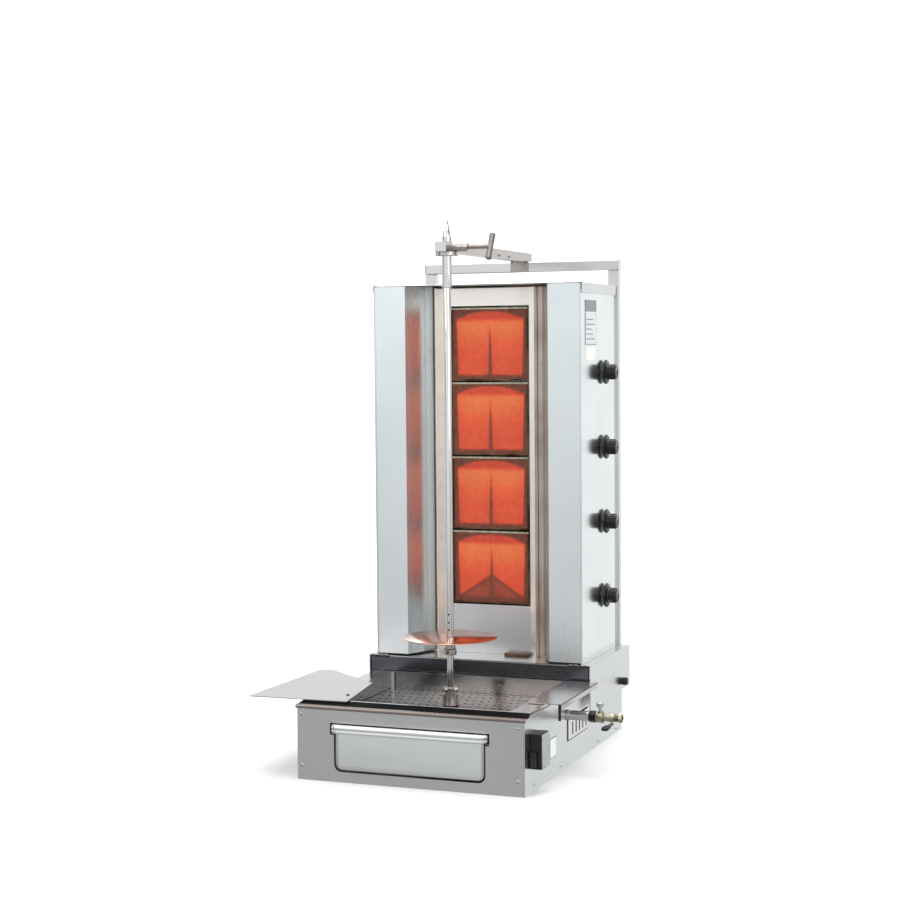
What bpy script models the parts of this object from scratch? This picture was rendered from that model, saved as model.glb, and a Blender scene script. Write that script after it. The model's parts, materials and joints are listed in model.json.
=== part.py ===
"""Vertical rotisserie broiler: a four-burner gas grill with a turning spit, a drip tray and a drawer pan.

Metres, +Z up, front toward -Y. The origin is the centre of the base's underside.
"""

from math import cos, pi, radians, sin

import bmesh
import bpy
from mathutils import Matrix, Vector

# Driving dimensions
GAP = 0.0003  # between pieces that touch
SHEET = 0.002  # casing sheet

BASE_W, BASE_D, BASE_H = 0.510, 0.720, 0.158
BASE_X, BASE_Y = BASE_W / 2, BASE_D / 2

PAN_W, PAN_D = 0.354, 0.176  # drawer pan, over the rim
PAN_BOTTOM, PAN_TOP, PAN_RIM_H, PAN_LIP = 0.024, 0.1235, 0.018, 0.009

TRAY_X, TRAY_FRONT, TRAY_REAR = 0.208, -0.312, 0.047  # recess walls
TRAY_FLOOR, TRAY_TOP = 0.1254, 0.1650
LEDGE_D = 0.041

SPIT_Y, SPIT_R, SPIT_TIP = -0.1135, 0.00825, 1.193
CUP_R, CUP_TOP = 0.018, 0.1675
DISC_R, DISC_Z, DISC_T = 0.1053, 0.279, 0.002

COVER_X, COVER_FRONT, COVER_REAR = 0.269, 0.057, 0.387  # pedestal cover over the base
COVER_BOTTOM, COVER_TOP = 0.103, 0.2005

COLUMN_X, COLUMN_FRONT, COLUMN_REAR = 0.2475, 0.0616, 0.334
COLUMN_BOTTOM, COLUMN_TOP, CAP_LIP_H = COVER_TOP + GAP, 1.058, 0.025
WING_BOTTOM, WING_TOP, WING_T = 0.2055, 1.0555, 0.0015
HINGE_R = 0.0022

BURNERS, BURNER_PITCH, BURNER_BOTTOM = 4, 0.173, 0.317
BURNER_X, BURNER_Y = 0.0935, 0.1525  # half width, front of the mesh
TRIM_INNER, TRIM_OUTER = 0.0985, 0.119
KNOB_Y, KNOB_ABOVE_BURNER = 0.244, 0.0195  # knob axis above its burner's lower edge
KNOB_TRAVEL = 0.003

FRAME_X, FRAME_FRONT, TUBE, FRAME_TOP, FRAME_FOOT = 0.246, 0.3757, 0.025, 1.1205, 0.030
ARM_W, ARM_H, ARM_FRONT, ARM_REAR = 0.026, 0.022, -0.1525, 0.430
ARM_Z = FRAME_TOP + GAP
SLEEVE_R, SLEEVE_BOTTOM, SLEEVE_TOP = 0.011, 1.0445, 1.156
SCREW_Z = ARM_Z + ARM_H / 2
HANDLE_X, HANDLE_TILT = 0.101, radians(28)

GAS_Y, GAS_Z = -0.070, 0.115  # gas inlet axis, on the right side of the base
GAS_X = (0.2470, 0.3050, 0.3200, 0.3203, 0.3790)  # inlet pipe, its nut, the cock
COCK_X = 0.3545
SUPPLY_X, MANIFOLD_Y = 0.225, 0.270

SWITCH_Y, SWITCH_Z = (-0.326, -0.280), (0.051, 0.124)
PLATE_Z, PLATE_T = 0.1660, 0.002
VENT_Y, VENT_STEP, VENT_COUNT = -0.042, 0.025, 5

# Colours: base colour, roughness, metallic
STEEL = ((0.74, 0.74, 0.73), 0.30, 1.0)
DULL_STEEL = ((0.42, 0.42, 0.42), 0.45, 1.0)
POLISHED = ((0.83, 0.83, 0.83), 0.10, 1.0)
DARK_STEEL = ((0.10, 0.10, 0.11), 0.35, 1.0)
TRIM = ((0.88, 0.84, 0.80), 0.22, 1.0)
CERAMIC = ((0.80, 0.28, 0.16), 0.85, 0.0)
MESH = ((0.46, 0.16, 0.10), 0.60, 1.0)
BRASS = ((0.72, 0.62, 0.40), 0.35, 1.0)
BLACK = ((0.02, 0.02, 0.022), 0.45, 0.0)
LABEL = ((0.78, 0.80, 0.78), 0.60, 0.0)
MOTOR = ((0.16, 0.17, 0.19), 0.50, 0.0)


def clear_scene():
    for obj in list(bpy.data.objects):
        bpy.data.objects.remove(obj, do_unlink=True)


def material(name, look):
    colour, roughness, metallic = look
    made = bpy.data.materials.new(name)
    made.use_nodes = True
    shader = made.node_tree.nodes["Principled BSDF"]
    shader.inputs["Base Color"].default_value = (*colour, 1)
    shader.inputs["Roughness"].default_value = roughness
    shader.inputs["Metallic"].default_value = metallic
    made.diffuse_color = (*colour, 1)
    return made


def add(name, bm, look, origin=(0, 0, 0)):
    """Makes an object of world-space bmesh bm, with its origin at the given point."""
    bmesh.ops.recalc_face_normals(bm, faces=bm.faces)
    bm.transform(Matrix.Translation(-Vector(origin)))
    mesh = bpy.data.meshes.new(name)
    bm.to_mesh(mesh)
    bm.free()
    obj = bpy.data.objects.new(name, mesh)
    obj.location = origin
    if look is not None:
        mesh.materials.append(material(name, look))
    bpy.context.scene.collection.objects.link(obj)
    return obj


def box_bm(low, high):
    bm = bmesh.new()
    bmesh.ops.create_cube(bm, size=1)
    size = Vector(high) - Vector(low)
    bm.transform(Matrix.Translation((Vector(high) + Vector(low)) / 2) @ Matrix.Diagonal((*size, 1)))
    return bm


def box(name, low, high, look, bevel=0.0, origin=(0, 0, 0)):
    low, high = zip(*(sorted(pair) for pair in zip(low, high)))
    obj = add(name, box_bm(low, high), look, origin)
    if bevel:
        round_edges(obj, bevel)
    return obj


def round_edges(obj, width, segments=2):
    bevel = obj.modifiers.new("rounded", "BEVEL")
    bevel.width, bevel.segments, bevel.limit_method = width, segments, "ANGLE"


def prism(name, outline, low, high, look, axis="Z", origin=(0, 0, 0)):
    """Extrudes a closed outline along an axis. Its points are the other two coordinates, in X, Y, Z order."""
    bm = bmesh.new()
    place = {
        "X": lambda a, b, c: (c, a, b),
        "Y": lambda a, b, c: (a, c, b),
        "Z": lambda a, b, c: (a, b, c),
    }[axis]
    lower = [bm.verts.new(place(a, b, low)) for a, b in outline]
    upper = [bm.verts.new(place(a, b, high)) for a, b in outline]
    bm.faces.new(lower[::-1])
    bm.faces.new(upper)
    for i, _ in enumerate(outline):
        j = (i + 1) % len(outline)
        bm.faces.new((lower[i], lower[j], upper[j], upper[i]))
    return add(name, bm, look, origin)


AXES = {
    "Z": Matrix.Identity(3),
    "X": Matrix(((0, 0, 1), (0, 1, 0), (-1, 0, 0))),
    "Y": Matrix(((1, 0, 0), (0, 0, 1), (0, -1, 0))),
}


def lathe(name, profile, look, centre, axis="Z", segments=28):
    """Turns a profile of (radius, height) points about an axis through centre. Radius 0 ends it on the axis;
    a profile that never meets the axis is closed into a ring."""
    bm = bmesh.new()
    turn = AXES[axis]
    rings = []
    for radius, height in profile:
        if radius == 0:
            rings.append([bm.verts.new(turn @ Vector((0, 0, height)))])
            continue
        angles = [2 * pi * k / segments for k in range(segments)]
        rings.append(
            [bm.verts.new(turn @ Vector((radius * cos(a), radius * sin(a), height))) for a in angles]
        )
    closed = profile[0][0] > 0 and profile[-1][0] > 0
    pairs = list(zip(rings, rings[1:] + rings[:1]))
    for ring, after in pairs if closed else pairs[:-1]:
        for k in range(segments):
            m = (k + 1) % segments
            if len(ring) == 1:
                bm.faces.new((ring[0], after[k], after[m]))
            elif len(after) == 1:
                bm.faces.new((ring[m], ring[k], after[0]))
            else:
                bm.faces.new((ring[k], after[k], after[m], ring[m]))
    bm.transform(Matrix.Translation(centre))
    return add(name, bm, look, centre)


def rod(name, radius, low, high, look, centre, axis="Z", segments=20, hole=0.0):
    """A straight round bar, or a tube when it has a hole. low and high are along its axis, from centre."""
    if hole:
        profile = [(hole, low), (radius, low), (radius, high), (hole, high)]
    else:
        profile = [(0, low), (radius, low), (radius, high), (0, high)]
    return lathe(name, profile, look, centre, axis, segments)


def pipe(name, points, radius, look, sides=12):
    """A bent solid pipe through the points, with mitred corners."""
    points = [Vector(point) for point in points]
    runs = [(after - point).normalized() for point, after in zip(points, points[1:])]
    across = runs[0].orthogonal().normalized()
    up = runs[0].cross(across)
    angles = [2 * pi * k / sides for k in range(sides)]
    ring = [points[0] + radius * (cos(a) * across + sin(a) * up) for a in angles]
    bm = bmesh.new()
    rings = [[bm.verts.new(place) for place in ring]]
    for corner, run, following in zip(points[1:], runs, [*runs[1:], runs[-1]]):
        normal = (run + following).normalized()
        ring = [place + run * ((corner - place).dot(normal) / run.dot(normal)) for place in ring]
        rings.append([bm.verts.new(place) for place in ring])
    for before, after in zip(rings, rings[1:]):
        for k in range(sides):
            m = (k + 1) % sides
            bm.faces.new((before[k], before[m], after[m], after[k]))
    bm.faces.new(rings[0])
    bm.faces.new(rings[-1])
    return add(name, bm, look)


def combine(obj, other, operation):
    other.hide_render = True
    other.display_type = "WIRE"
    boolean = obj.modifiers.new(other.name, "BOOLEAN")
    boolean.operation, boolean.solver, boolean.object = operation, "EXACT", other


def cut(obj, cutter):
    """Takes a hidden cutter out of an object."""
    combine(obj, cutter, "DIFFERENCE")


def join(obj, *others):
    """Makes hidden solids that overlap the object one with it."""
    for other in others:
        combine(obj, other, "UNION")


def round_hole(obj, radius, low, high, centre, axis="Z"):
    name = f"cut_{obj.name}_{len(obj.modifiers)}"
    cut(obj, rod(name, radius, low, high, None, centre, axis, segments=16))


def rounded_rectangle(x0, y0, x1, y1, radius, steps=4):
    """Corner arcs, anticlockwise from the corner at x1, y1."""
    points = []
    corners = ((x1, y1, 1, 1), (x0, y1, -1, 1), (x0, y0, -1, -1), (x1, y0, 1, -1))
    for quarter, (x, y, sx, sy) in enumerate(corners):
        for k in range(steps + 1):
            angle = (quarter + k / steps) * pi / 2
            points.append((x - sx * radius + radius * cos(angle), y - sy * radius + radius * sin(angle)))
    return points


def ring_solid(name, levels, look, origin=(0, 0, 0)):
    """Joins rounded rectangles (x0, y0, x1, y1, corner radius, z) one to the next, capping the first and last."""
    bm = bmesh.new()
    rings = [
        [bm.verts.new((x, y, level[5])) for x, y in rounded_rectangle(*level[:5])] for level in levels
    ]
    for ring, after in zip(rings, rings[1:]):
        for k in range(len(ring)):
            m = (k + 1) % len(ring)
            bm.faces.new((ring[k], ring[m], after[m], after[k]))
    bm.faces.new(rings[0][::-1])
    bm.faces.new(rings[-1])
    return add(name, bm, look, origin)


def base_casing():
    floor_y = BASE_Y - SHEET - GAP
    side_x = BASE_X - SHEET - GAP
    box("base_floor", (-side_x, -floor_y, 0), (side_x, floor_y, SHEET), DULL_STEEL)
    box("base_left_side", (-BASE_X, -BASE_Y, 0), (SHEET - BASE_X, BASE_Y, BASE_H), STEEL)
    right = box("base_right_side", (BASE_X - SHEET, -BASE_Y, 0), (BASE_X, BASE_Y, BASE_H), STEEL)
    round_hole(right, 0.0115, -0.02, 0.02, (BASE_X, GAS_Y, GAS_Z), "X")
    for k in range(VENT_COUNT):
        y = VENT_Y + k * VENT_STEP
        slot = box(f"cut_vent_{k}", (BASE_X - 0.01, y, 0.066), (BASE_X + 0.01, y + 0.008, 0.094), None)
        cut(right, slot)
    box("base_rear_panel", (-side_x, floor_y + GAP, 0), (side_x, BASE_Y, BASE_H), STEEL)
    front_panel(side_x)
    front_ledge()


def front_ledge():
    """The strip along the front edge: a slope up to the tray, with a nose rolled over the front panel."""
    back, low = -BASE_Y + LEDGE_D, BASE_H + GAP
    nose = [(-0.0040, 0.1580), (-0.0040, 0.1545), (-0.0025, 0.1530), (-GAP, 0.1530)]
    side = [(-BASE_Y - GAP, low), (back, TRAY_TOP - 0.002), (back, TRAY_TOP), (-BASE_Y, 0.1610)]
    side += [(-BASE_Y - 0.0025, 0.1603)] + [(y - BASE_Y, z) for y, z in nose]
    prism("front_ledge", side, -BASE_X - 0.0025, BASE_X + 0.0025, DARK_STEEL, "X")


def front_panel(side_x):
    """The panel's opening follows the pan: rounded below, with a notch at each side for the pan's rim."""
    panel = box("front_panel", (-side_x, -BASE_Y, 0), (side_x, -BASE_Y + SHEET, BASE_H), STEEL)
    rim_x, body_x = PAN_W / 2 + 0.002, PAN_W / 2 - PAN_LIP + 0.002
    low, shoulder, top = PAN_BOTTOM - 0.002, PAN_TOP - PAN_RIM_H - 0.0055, PAN_TOP + 0.002
    radius = 0.016
    arc = [radians(90 * k / 4) for k in range(5)]
    corner = [(body_x - radius + radius * sin(a), low + radius - radius * cos(a)) for a in arc]
    right = corner + [(body_x, shoulder), (rim_x, shoulder), (rim_x, top)]
    outline = right + [(-x, z) for x, z in reversed(right)]
    cut(panel, prism("cut_drawer", outline, -BASE_Y - 0.01, -BASE_Y + 0.01, None, "Y"))


def drawer():
    """An open pan with rounded corners and a turned-down rim, on two angle runners."""
    front = -BASE_Y - 0.015
    x, rear, wall, lip = PAN_W / 2, front + PAN_D, 0.0012, PAN_LIP

    def level(inset, radius, z):
        return (-x + inset, front + inset, x - inset, rear - inset, radius, z)

    under = PAN_TOP - PAN_RIM_H
    outside = [(0.013, 0.010, 0), (0.005, 0.011, 0.0025), (0.0012, 0.012, 0.008), (0, 0.013, 0.015)]
    levels = [level(lip + inset, radius, PAN_BOTTOM + z) for inset, radius, z in outside]
    levels += [
        level(lip, 0.013, under),
        level(0.003, 0.017, under),
        level(0, 0.020, under + 0.004),
        level(0, 0.020, PAN_TOP - 0.004),
        level(0.003, 0.017, PAN_TOP),
        level(lip + wall, 0.012, PAN_TOP),
        level(lip + wall, 0.012, PAN_BOTTOM + 0.0150),
        level(lip + wall + 0.005, 0.010, PAN_BOTTOM + 0.0037),
        level(lip + wall + 0.013, 0.009, PAN_BOTTOM + wall),
    ]
    ring_solid("drawer_pan", levels, POLISHED, (0, front, PAN_TOP))
    for side, name in ((-1, "left"), (1, "right")):
        inner, outer = side * (x - 0.007), side * (x + 0.005)
        web, low, top = side * (x + 0.003), under - 0.0040, PAN_TOP
        shape = [(inner, low), (outer, low), (outer, top), (web, top), (web, low + 0.0015), (inner, low + 0.0015)]
        prism(f"{name}_drawer_runner", shape, -BASE_Y + 0.004, rear + 0.012, DULL_STEEL, "Y")


def drip_tray():
    x, wall = BASE_X - 0.0025, 0.0015
    front, rear = -BASE_Y + LEDGE_D + 0.0005, TRAY_REAR + 0.007
    low = BASE_H + GAP
    levels = [
        (-TRAY_X - wall, TRAY_FRONT - wall, TRAY_X + wall, TRAY_REAR + wall, 0.012, TRAY_FLOOR - wall),
        (-TRAY_X - wall, TRAY_FRONT - wall, TRAY_X + wall, TRAY_REAR + wall, 0.012, low),
        (-x, front, x, rear, 0.004, low),
        (-x, front, x, rear, 0.004, TRAY_TOP),
        (-TRAY_X, TRAY_FRONT, TRAY_X, TRAY_REAR, 0.0105, TRAY_TOP),
        (-TRAY_X, TRAY_FRONT, TRAY_X, TRAY_REAR, 0.0105, TRAY_FLOOR),
    ]
    tray = ring_solid("drip_tray", levels, POLISHED)
    round_hole(tray, 0.011, -0.02, 0.02, (0, SPIT_Y, TRAY_FLOOR))


def gearmotor():
    """The spit's drive, inside the base under the tray."""
    low, high = 0.045, 0.110
    drive = box("gearmotor", (-0.05, SPIT_Y - 0.045, low), (0.05, SPIT_Y + 0.045, high), MOTOR)
    foot = box("join_foot", (-0.06, SPIT_Y - 0.05, SHEET + GAP), (0.06, SPIT_Y + 0.05, low + 0.001), None)
    join(drive, foot, rod("join_motor", 0.030, 0.049, 0.150, None, (0, SPIT_Y, 0.0775), "X"))


def spit():
    centre = (0, SPIT_Y, 0)
    floor = TRAY_FLOOR + 0.0023
    cup = [
        (0, 0.1103), (0.009, 0.1103), (0.009, floor), (CUP_R - 0.002, floor), (CUP_R, floor + 0.003),
        (CUP_R, CUP_TOP - 0.004), (CUP_R - 0.002, CUP_TOP), (0.0095, CUP_TOP), (0.0095, CUP_TOP - 0.018),
        (0, CUP_TOP - 0.018),
    ]  # fmt: skip
    lathe("drive_cup", cup, POLISHED, centre)
    low, high = DISC_Z - DISC_T / 2, DISC_Z + DISC_T / 2
    rod_r, foot = 0.0075, CUP_TOP - 0.0175
    length = [
        (0, foot), (rod_r, foot), (rod_r, 0.2035), (0.0066, 0.2040), (0.0066, 0.2050), (rod_r, 0.2055),
        (rod_r, high + GAP), (SPIT_R, high + GAP), (SPIT_R, SPIT_TIP - 0.030), (0.0055, SPIT_TIP - 0.014),
        (0.002, SPIT_TIP - 0.001), (0, SPIT_TIP),
    ]  # fmt: skip
    lathe("spit_rod", length, POLISHED, centre, segments=20)
    bore = rod_r + 0.0003
    hub = [(bore, 0.2408), (0.013, 0.2408), (0.014, 0.2420), (0.014, 0.2535), (0.0125, 0.2547)]
    hub += [(0.0115, 0.2550), (0.0115, low - GAP), (bore, low - GAP)]
    lathe("disc_hub", hub, DARK_STEEL, centre)
    disc = [(bore, low), (DISC_R - 0.001, low), (DISC_R, DISC_Z), (DISC_R - 0.001, high), (bore, high)]
    lathe("meat_disc", disc, POLISHED, centre, segments=48)


def pedestal():
    """The saddle over the rear of the base, which carries the burner column."""
    inner = COVER_X - SHEET
    top_x, top_low = inner - GAP, COVER_TOP - SHEET
    top = box("pedestal_top", (-top_x, COVER_FRONT, top_low), (top_x, FRAME_FRONT - 0.001, COVER_TOP), STEEL)
    round_hole(top, 0.0085, -0.02, 0.02, (SUPPLY_X, MANIFOLD_Y, COVER_TOP))
    wall_top = top_low - GAP
    box("pedestal_front_wall", (-top_x, 0.058, TRAY_TOP + 0.0015), (top_x, 0.060, wall_top), DARK_STEEL)
    for side, name in ((-1, "left"), (1, "right")):
        low = (side * inner, COVER_FRONT, COVER_BOTTOM)
        cheek = box(f"pedestal_{name}_cheek", low, (side * COVER_X, COVER_REAR, COVER_TOP), STEEL)
        round_hole(cheek, 0.0045, -0.02, 0.02, (side * COVER_X, 0.314, 0.1236), "X")
    knob_y, knob_z = 0.314, 0.1236
    knob = [
        (0, -0.0135), (0.0040, -0.0135), (0.0040, 0.0003), (0.0075, 0.0003), (0.0085, 0.0015),
        (0.0085, 0.0130), (0.0070, 0.0150), (0, 0.0150),
    ]  # fmt: skip
    lathe("pedestal_clamp_knob", knob, BLACK, (COVER_X, knob_y, knob_z), "X", 20)


def column_casing():
    inner = COLUMN_X - SHEET
    panel_front, panel_top = COLUMN_FRONT + 0.0030, 1.0355
    low, high = (-COLUMN_X, panel_front, COLUMN_BOTTOM), (-inner, COLUMN_REAR, panel_top)
    box("column_left_side", low, high, STEEL)
    low, high = (inner, panel_front, COLUMN_BOTTOM), (COLUMN_X, COLUMN_REAR, panel_top)
    right = box("column_right_side", low, high, STEEL)
    for k in range(BURNERS):
        round_hole(right, 0.0055, -0.02, 0.02, (COLUMN_X, KNOB_Y, knob_height(k)), "X")
    rear_low = (-inner + GAP, COLUMN_REAR - SHEET, COLUMN_BOTTOM)
    box("column_rear_panel", rear_low, (inner - GAP, COLUMN_REAR, panel_top), STEEL)
    top_cap()
    for side, name in ((-1, "left"), (1, "right")):
        wing(side, name)
        trim(side, name)
    plate_y = (BURNER_Y, BURNER_Y + 0.002)
    x = TRIM_OUTER - 0.001
    box("lower_front_plate", (-x, plate_y[0], COLUMN_BOTTOM), (x, plate_y[1], BURNER_BOTTOM - 0.0015), STEEL)
    top_z = BURNER_BOTTOM + BURNERS * BURNER_PITCH + 0.0015
    box("upper_front_plate", (-0.0980, plate_y[0], top_z), (0.0980, plate_y[1], 1.0515), TRIM)


def top_cap():
    """A shallow lid, open below, with its sides folded down over the side panels."""
    wall, z = 0.0015, COLUMN_TOP - CAP_LIP_H
    x, front, rear = COLUMN_X + 0.002, COLUMN_FRONT + 0.0035, COLUMN_REAR + 0.0105
    cap = box("top_cap", (-x, front, z), (x, rear, COLUMN_TOP), STEEL)
    round_edges(cap, 0.003)
    hollow = box(
        "cut_cap", (wall - x, front - 0.01, z - 0.01), (x - wall, rear - wall, COLUMN_TOP - wall), None
    )
    cut(cap, hollow)


def wing(side, name):
    """A wind guard on the column's front corner: a pin, a flat face, then two folds toward the burners."""
    outer = [(0.2465, 0.0616), (0.1720, 0.0616), (0.1450, 0.1222), (0.1335, 0.1395)]
    back = [(0.1348, 0.1403), (0.1463, 0.1229), (0.1730, 0.0631), (0.2465, 0.0631)]
    outline = [(side * x, y) for x, y in outer + back]
    axis = (side * COLUMN_X, COLUMN_FRONT, 0)
    sheet = prism(f"{name}_wing", outline, WING_BOTTOM, WING_TOP, STEEL, origin=axis)
    join(sheet, rod(f"join_{name}_pin", HINGE_R, WING_BOTTOM - 0.004, WING_TOP, None, axis, segments=12))


def trim(side, name):
    """A bright angle up each side of the burners."""
    front, t = BURNER_Y - 0.0025, 0.0015
    corners = [
        (TRIM_INNER, front), (TRIM_OUTER, front), (TRIM_OUTER, 0.1195), (TRIM_OUTER + t, 0.1195),
        (TRIM_OUTER + t, front + t), (TRIM_INNER, front + t),
    ]  # fmt: skip
    outline = [(side * x, y) for x, y in corners]
    prism(f"{name}_trim", outline, COLUMN_BOTTOM, 1.0520, TRIM)


def burner_low(k):
    return BURNER_BOTTOM + k * BURNER_PITCH + 0.0015


def knob_height(k):
    return BURNER_BOTTOM + k * BURNER_PITCH + KNOB_ABOVE_BURNER


def burners():
    """Each burner is a box behind its ceramic plates, open at the back."""
    for k in range(BURNERS):
        low = Vector((-BURNER_X, BURNER_Y + 0.0025, burner_low(k)))
        high = Vector((BURNER_X, BURNER_Y + 0.0450, burner_low(k) + BURNER_PITCH - 0.003))
        burner = box(f"burner_{k + 1}", low, high, CERAMIC)
        inset = Vector((0.003, 0.0180, 0.003))
        cut(burner, box(f"cut_burner_{k}", low + inset, high + Vector((-0.003, 0.01, -0.003)), None))


def knobs():
    """Each knob turns its valve's spindle and is pushed in along it."""
    for k in range(BURNERS):
        centre = (COLUMN_X, KNOB_Y, knob_height(k))
        rod(f"valve_spindle_{k + 1}", 0.004, -0.0022, 0.014, STEEL, centre, "X", 16)
        profile = [
            (0.0043, 0.0040), (0.0260, 0.0040), (0.0280, 0.0055), (0.0280, 0.0080), (0.0260, 0.0100),
            (0.0175, 0.0115), (0.0165, 0.0295), (0.0140, 0.0325), (0, 0.0325), (0, 0.0180), (0.0043, 0.0180),
        ]  # fmt: skip
        knob_solid(f"burner_knob_{k + 1}", profile, centre)


def knob_solid(name, profile, centre, segments=28):
    """The knob's own lathe: its profile starts and ends on the bore's wall and meets the axis between."""
    bm = bmesh.new()
    turn = AXES["X"]
    rings = []
    for radius, height in profile:
        if radius == 0:
            rings.append([bm.verts.new(turn @ Vector((0, 0, height)))])
        else:
            angles = [2 * pi * k / segments for k in range(segments)]
            rings.append(
                [bm.verts.new(turn @ Vector((radius * cos(a), radius * sin(a), height))) for a in angles]
            )
    for ring, after in zip(rings, rings[1:] + rings[:1]):
        if len(ring) == len(after) == 1:
            continue
        for k in range(segments):
            m = (k + 1) % segments
            if len(ring) == 1:
                bm.faces.new((ring[0], after[k], after[m]))
            elif len(after) == 1:
                bm.faces.new((ring[m], ring[k], after[0]))
            else:
                bm.faces.new((ring[k], after[k], after[m], ring[m]))
    bm.transform(Matrix.Translation(centre))
    return add(name, bm, BLACK, centre)


def gas_line():
    """The inlet on the base's side, its cock, and the pipe up to the burners' valves."""
    x = GAS_X
    centre = (0, GAS_Y, GAS_Z)
    inlet = rod("gas_inlet", 0.0105, x[0], x[1] + 0.001, STEEL, centre, "X", segments=24)
    join(inlet, rod("join_nut", 0.013, x[1], x[2], None, centre, "X", segments=6))
    cock = [(0, x[3]), (0.0130, x[3]), (0.0130, x[3] + 0.017), (0.0085, x[3] + 0.019)]
    cock += [(0.0085, x[4] - 0.012), (0.0105, x[4] - 0.011), (0.0105, x[4]), (0, x[4])]
    body = lathe("gas_cock", cock, BRASS, centre, "X", 24)
    nipple = [(0, 0.0100), (0.0045, 0.0100), (0.0045, 0.022), (0.0080, 0.023), (0.0080, 0.032), (0, 0.032)]
    join(body, lathe("join_nipple", nipple, None, (0.3290, GAS_Y, GAS_Z), "Z", 16))
    lever_low = (COCK_X - 0.0075, GAS_Y - 0.0600, GAS_Z - 0.0175)
    lever_high = (COCK_X + 0.0075, GAS_Y + 0.0060, GAS_Z - 0.0115)
    box("gas_cock_lever", lever_low, lever_high, BLACK, 0.002, (COCK_X, GAS_Y, GAS_Z))
    supply, manifold = 0.007, rod("gas_manifold", 0.010, 0.250, 0.890, BRASS, (SUPPLY_X, MANIFOLD_Y, 0))
    corner = (SUPPLY_X, MANIFOLD_Y, GAS_Z)
    route = [(0.2455, GAS_Y, GAS_Z), (SUPPLY_X, GAS_Y, GAS_Z), corner, (SUPPLY_X, MANIFOLD_Y, 0.260)]
    join(manifold, pipe("join_supply", route, supply, None))
    for k in range(BURNERS):
        height = knob_height(k)
        low, high = (0.2060, KNOB_Y - 0.014, height - 0.014), (0.2450, MANIFOLD_Y, height + 0.014)
        bend = (0.05, KNOB_Y, height)
        feed = [(0.2070, KNOB_Y, height), bend, (0.05, BURNER_Y + 0.0215, height)]
        valve = box(f"join_valve_{k}", low, high, None)
        join(manifold, valve, pipe(f"join_feed_{k}", feed, 0.006, None))


def switch_box():
    low, high = (BASE_X + GAP, SWITCH_Y[0], SWITCH_Z[0]), (0.2830, SWITCH_Y[1], SWITCH_Z[1])
    box("motor_switch_box", low, high, BLACK, 0.002)
    y, z = (SWITCH_Y[0] - 0.0075, SWITCH_Y[0] - 0.0018), (0.056, 0.088)
    pivot = (0.264, y[1], sum(z) / 2)
    box("motor_switch_rocker", (0.2575, y[0], z[0]), (0.2705, y[1], z[1]), BLACK, 0.0015, pivot)


def side_plates():
    low, high = PLATE_Z, PLATE_Z + PLATE_T
    left = [(-0.379, -0.3415), (-0.151, -0.334), (-0.185, -0.1165)]
    centre, radius = (-0.349, -0.012), 0.022  # the rounded far corner
    left += [
        (centre[0] + radius * cos(a), centre[1] + radius * sin(a))
        for a in (radians(55 + 22 * k) for k in range(6))
    ]
    prism("left_side_plate", left, low, high, STEEL)
    edge, front, rear = 0.290, -0.2235, 0.043
    right = [(0.2128, low), (edge - PLATE_T, low), (edge - PLATE_T, low - 0.010), (edge, low - 0.010)]
    right += [(edge, high), (0.2128, high)]
    prism("right_side_plate", right, front, rear, STEEL, "Y")


def square_tube(name, low, high, along):
    """A square tube, open at both ends."""
    tube = box(name, low, high, STEEL)
    round_edges(tube, 0.002, 1)
    wall = Vector([0.0018] * 3)
    wall[along] = -0.01
    low, high = (Vector(ends) for ends in zip(*(sorted(pair) for pair in zip(low, high))))
    cut(tube, box(f"cut_{name}", low + wall, high - wall, None))
    return tube


def rear_frame():
    """A U of square tube behind the column, and the arm that holds the spit's top end."""
    rear, inner = FRAME_FRONT + TUBE, FRAME_X - TUBE
    leg_top = FRAME_TOP - TUBE - GAP
    for side, name in ((-1, "left"), (1, "right")):
        low = (side * inner, FRAME_FRONT, FRAME_FOOT)
        square_tube(f"{name}_frame_leg", low, (side * FRAME_X, rear, leg_top), 2)
    bracket = (-FRAME_X, BASE_Y + GAP, 0.060), (FRAME_X, FRAME_FRONT - GAP, 0.130)
    box("frame_bracket", *bracket, DULL_STEEL)
    low, high = (-FRAME_X, FRAME_FRONT, FRAME_TOP - TUBE), (FRAME_X, rear, FRAME_TOP)
    square_tube("frame_top_rail", low, high, 0)
    guide_arm()


def guide_arm():
    """A bar on the rail, with a flange and a screw boss round the guide sleeve's bore."""
    centre, bore = (0, SPIT_Y, 0), SLEEVE_R + 0.0007
    arm = box("top_arm", (-ARM_W / 2, ARM_FRONT, ARM_Z), (ARM_W / 2, ARM_REAR, ARM_Z + ARM_H), STEEL)
    flange = [(0, 1.1130), (0.0240, 1.1130), (0.0250, 1.1140), (0.0250, ARM_Z + 0.001), (0, ARM_Z + 0.001)]
    start = ARM_W / 2
    boss = [
        (0.0058, start - 0.0015), (0.0100, start - 0.0015), (0.0100, 0.030), (0.0092, 0.031),
        (0.0092, 0.035), (0.0100, 0.036), (0.0100, 0.045), (0.0085, 0.047), (0.0085, 0.050),
        (0.0058, 0.050),
    ]  # fmt: skip
    join(arm, lathe("join_flange", flange, None, centre))
    join(arm, lathe("join_boss", boss, None, (0, SPIT_Y, SCREW_Z), "X", 24))
    round_hole(arm, bore, 1.0, 1.2, centre)
    rod("guide_sleeve", SLEEVE_R, SLEEVE_BOTTOM, SLEEVE_TOP, POLISHED, centre, hole=SPIT_R + 0.0015)


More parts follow.
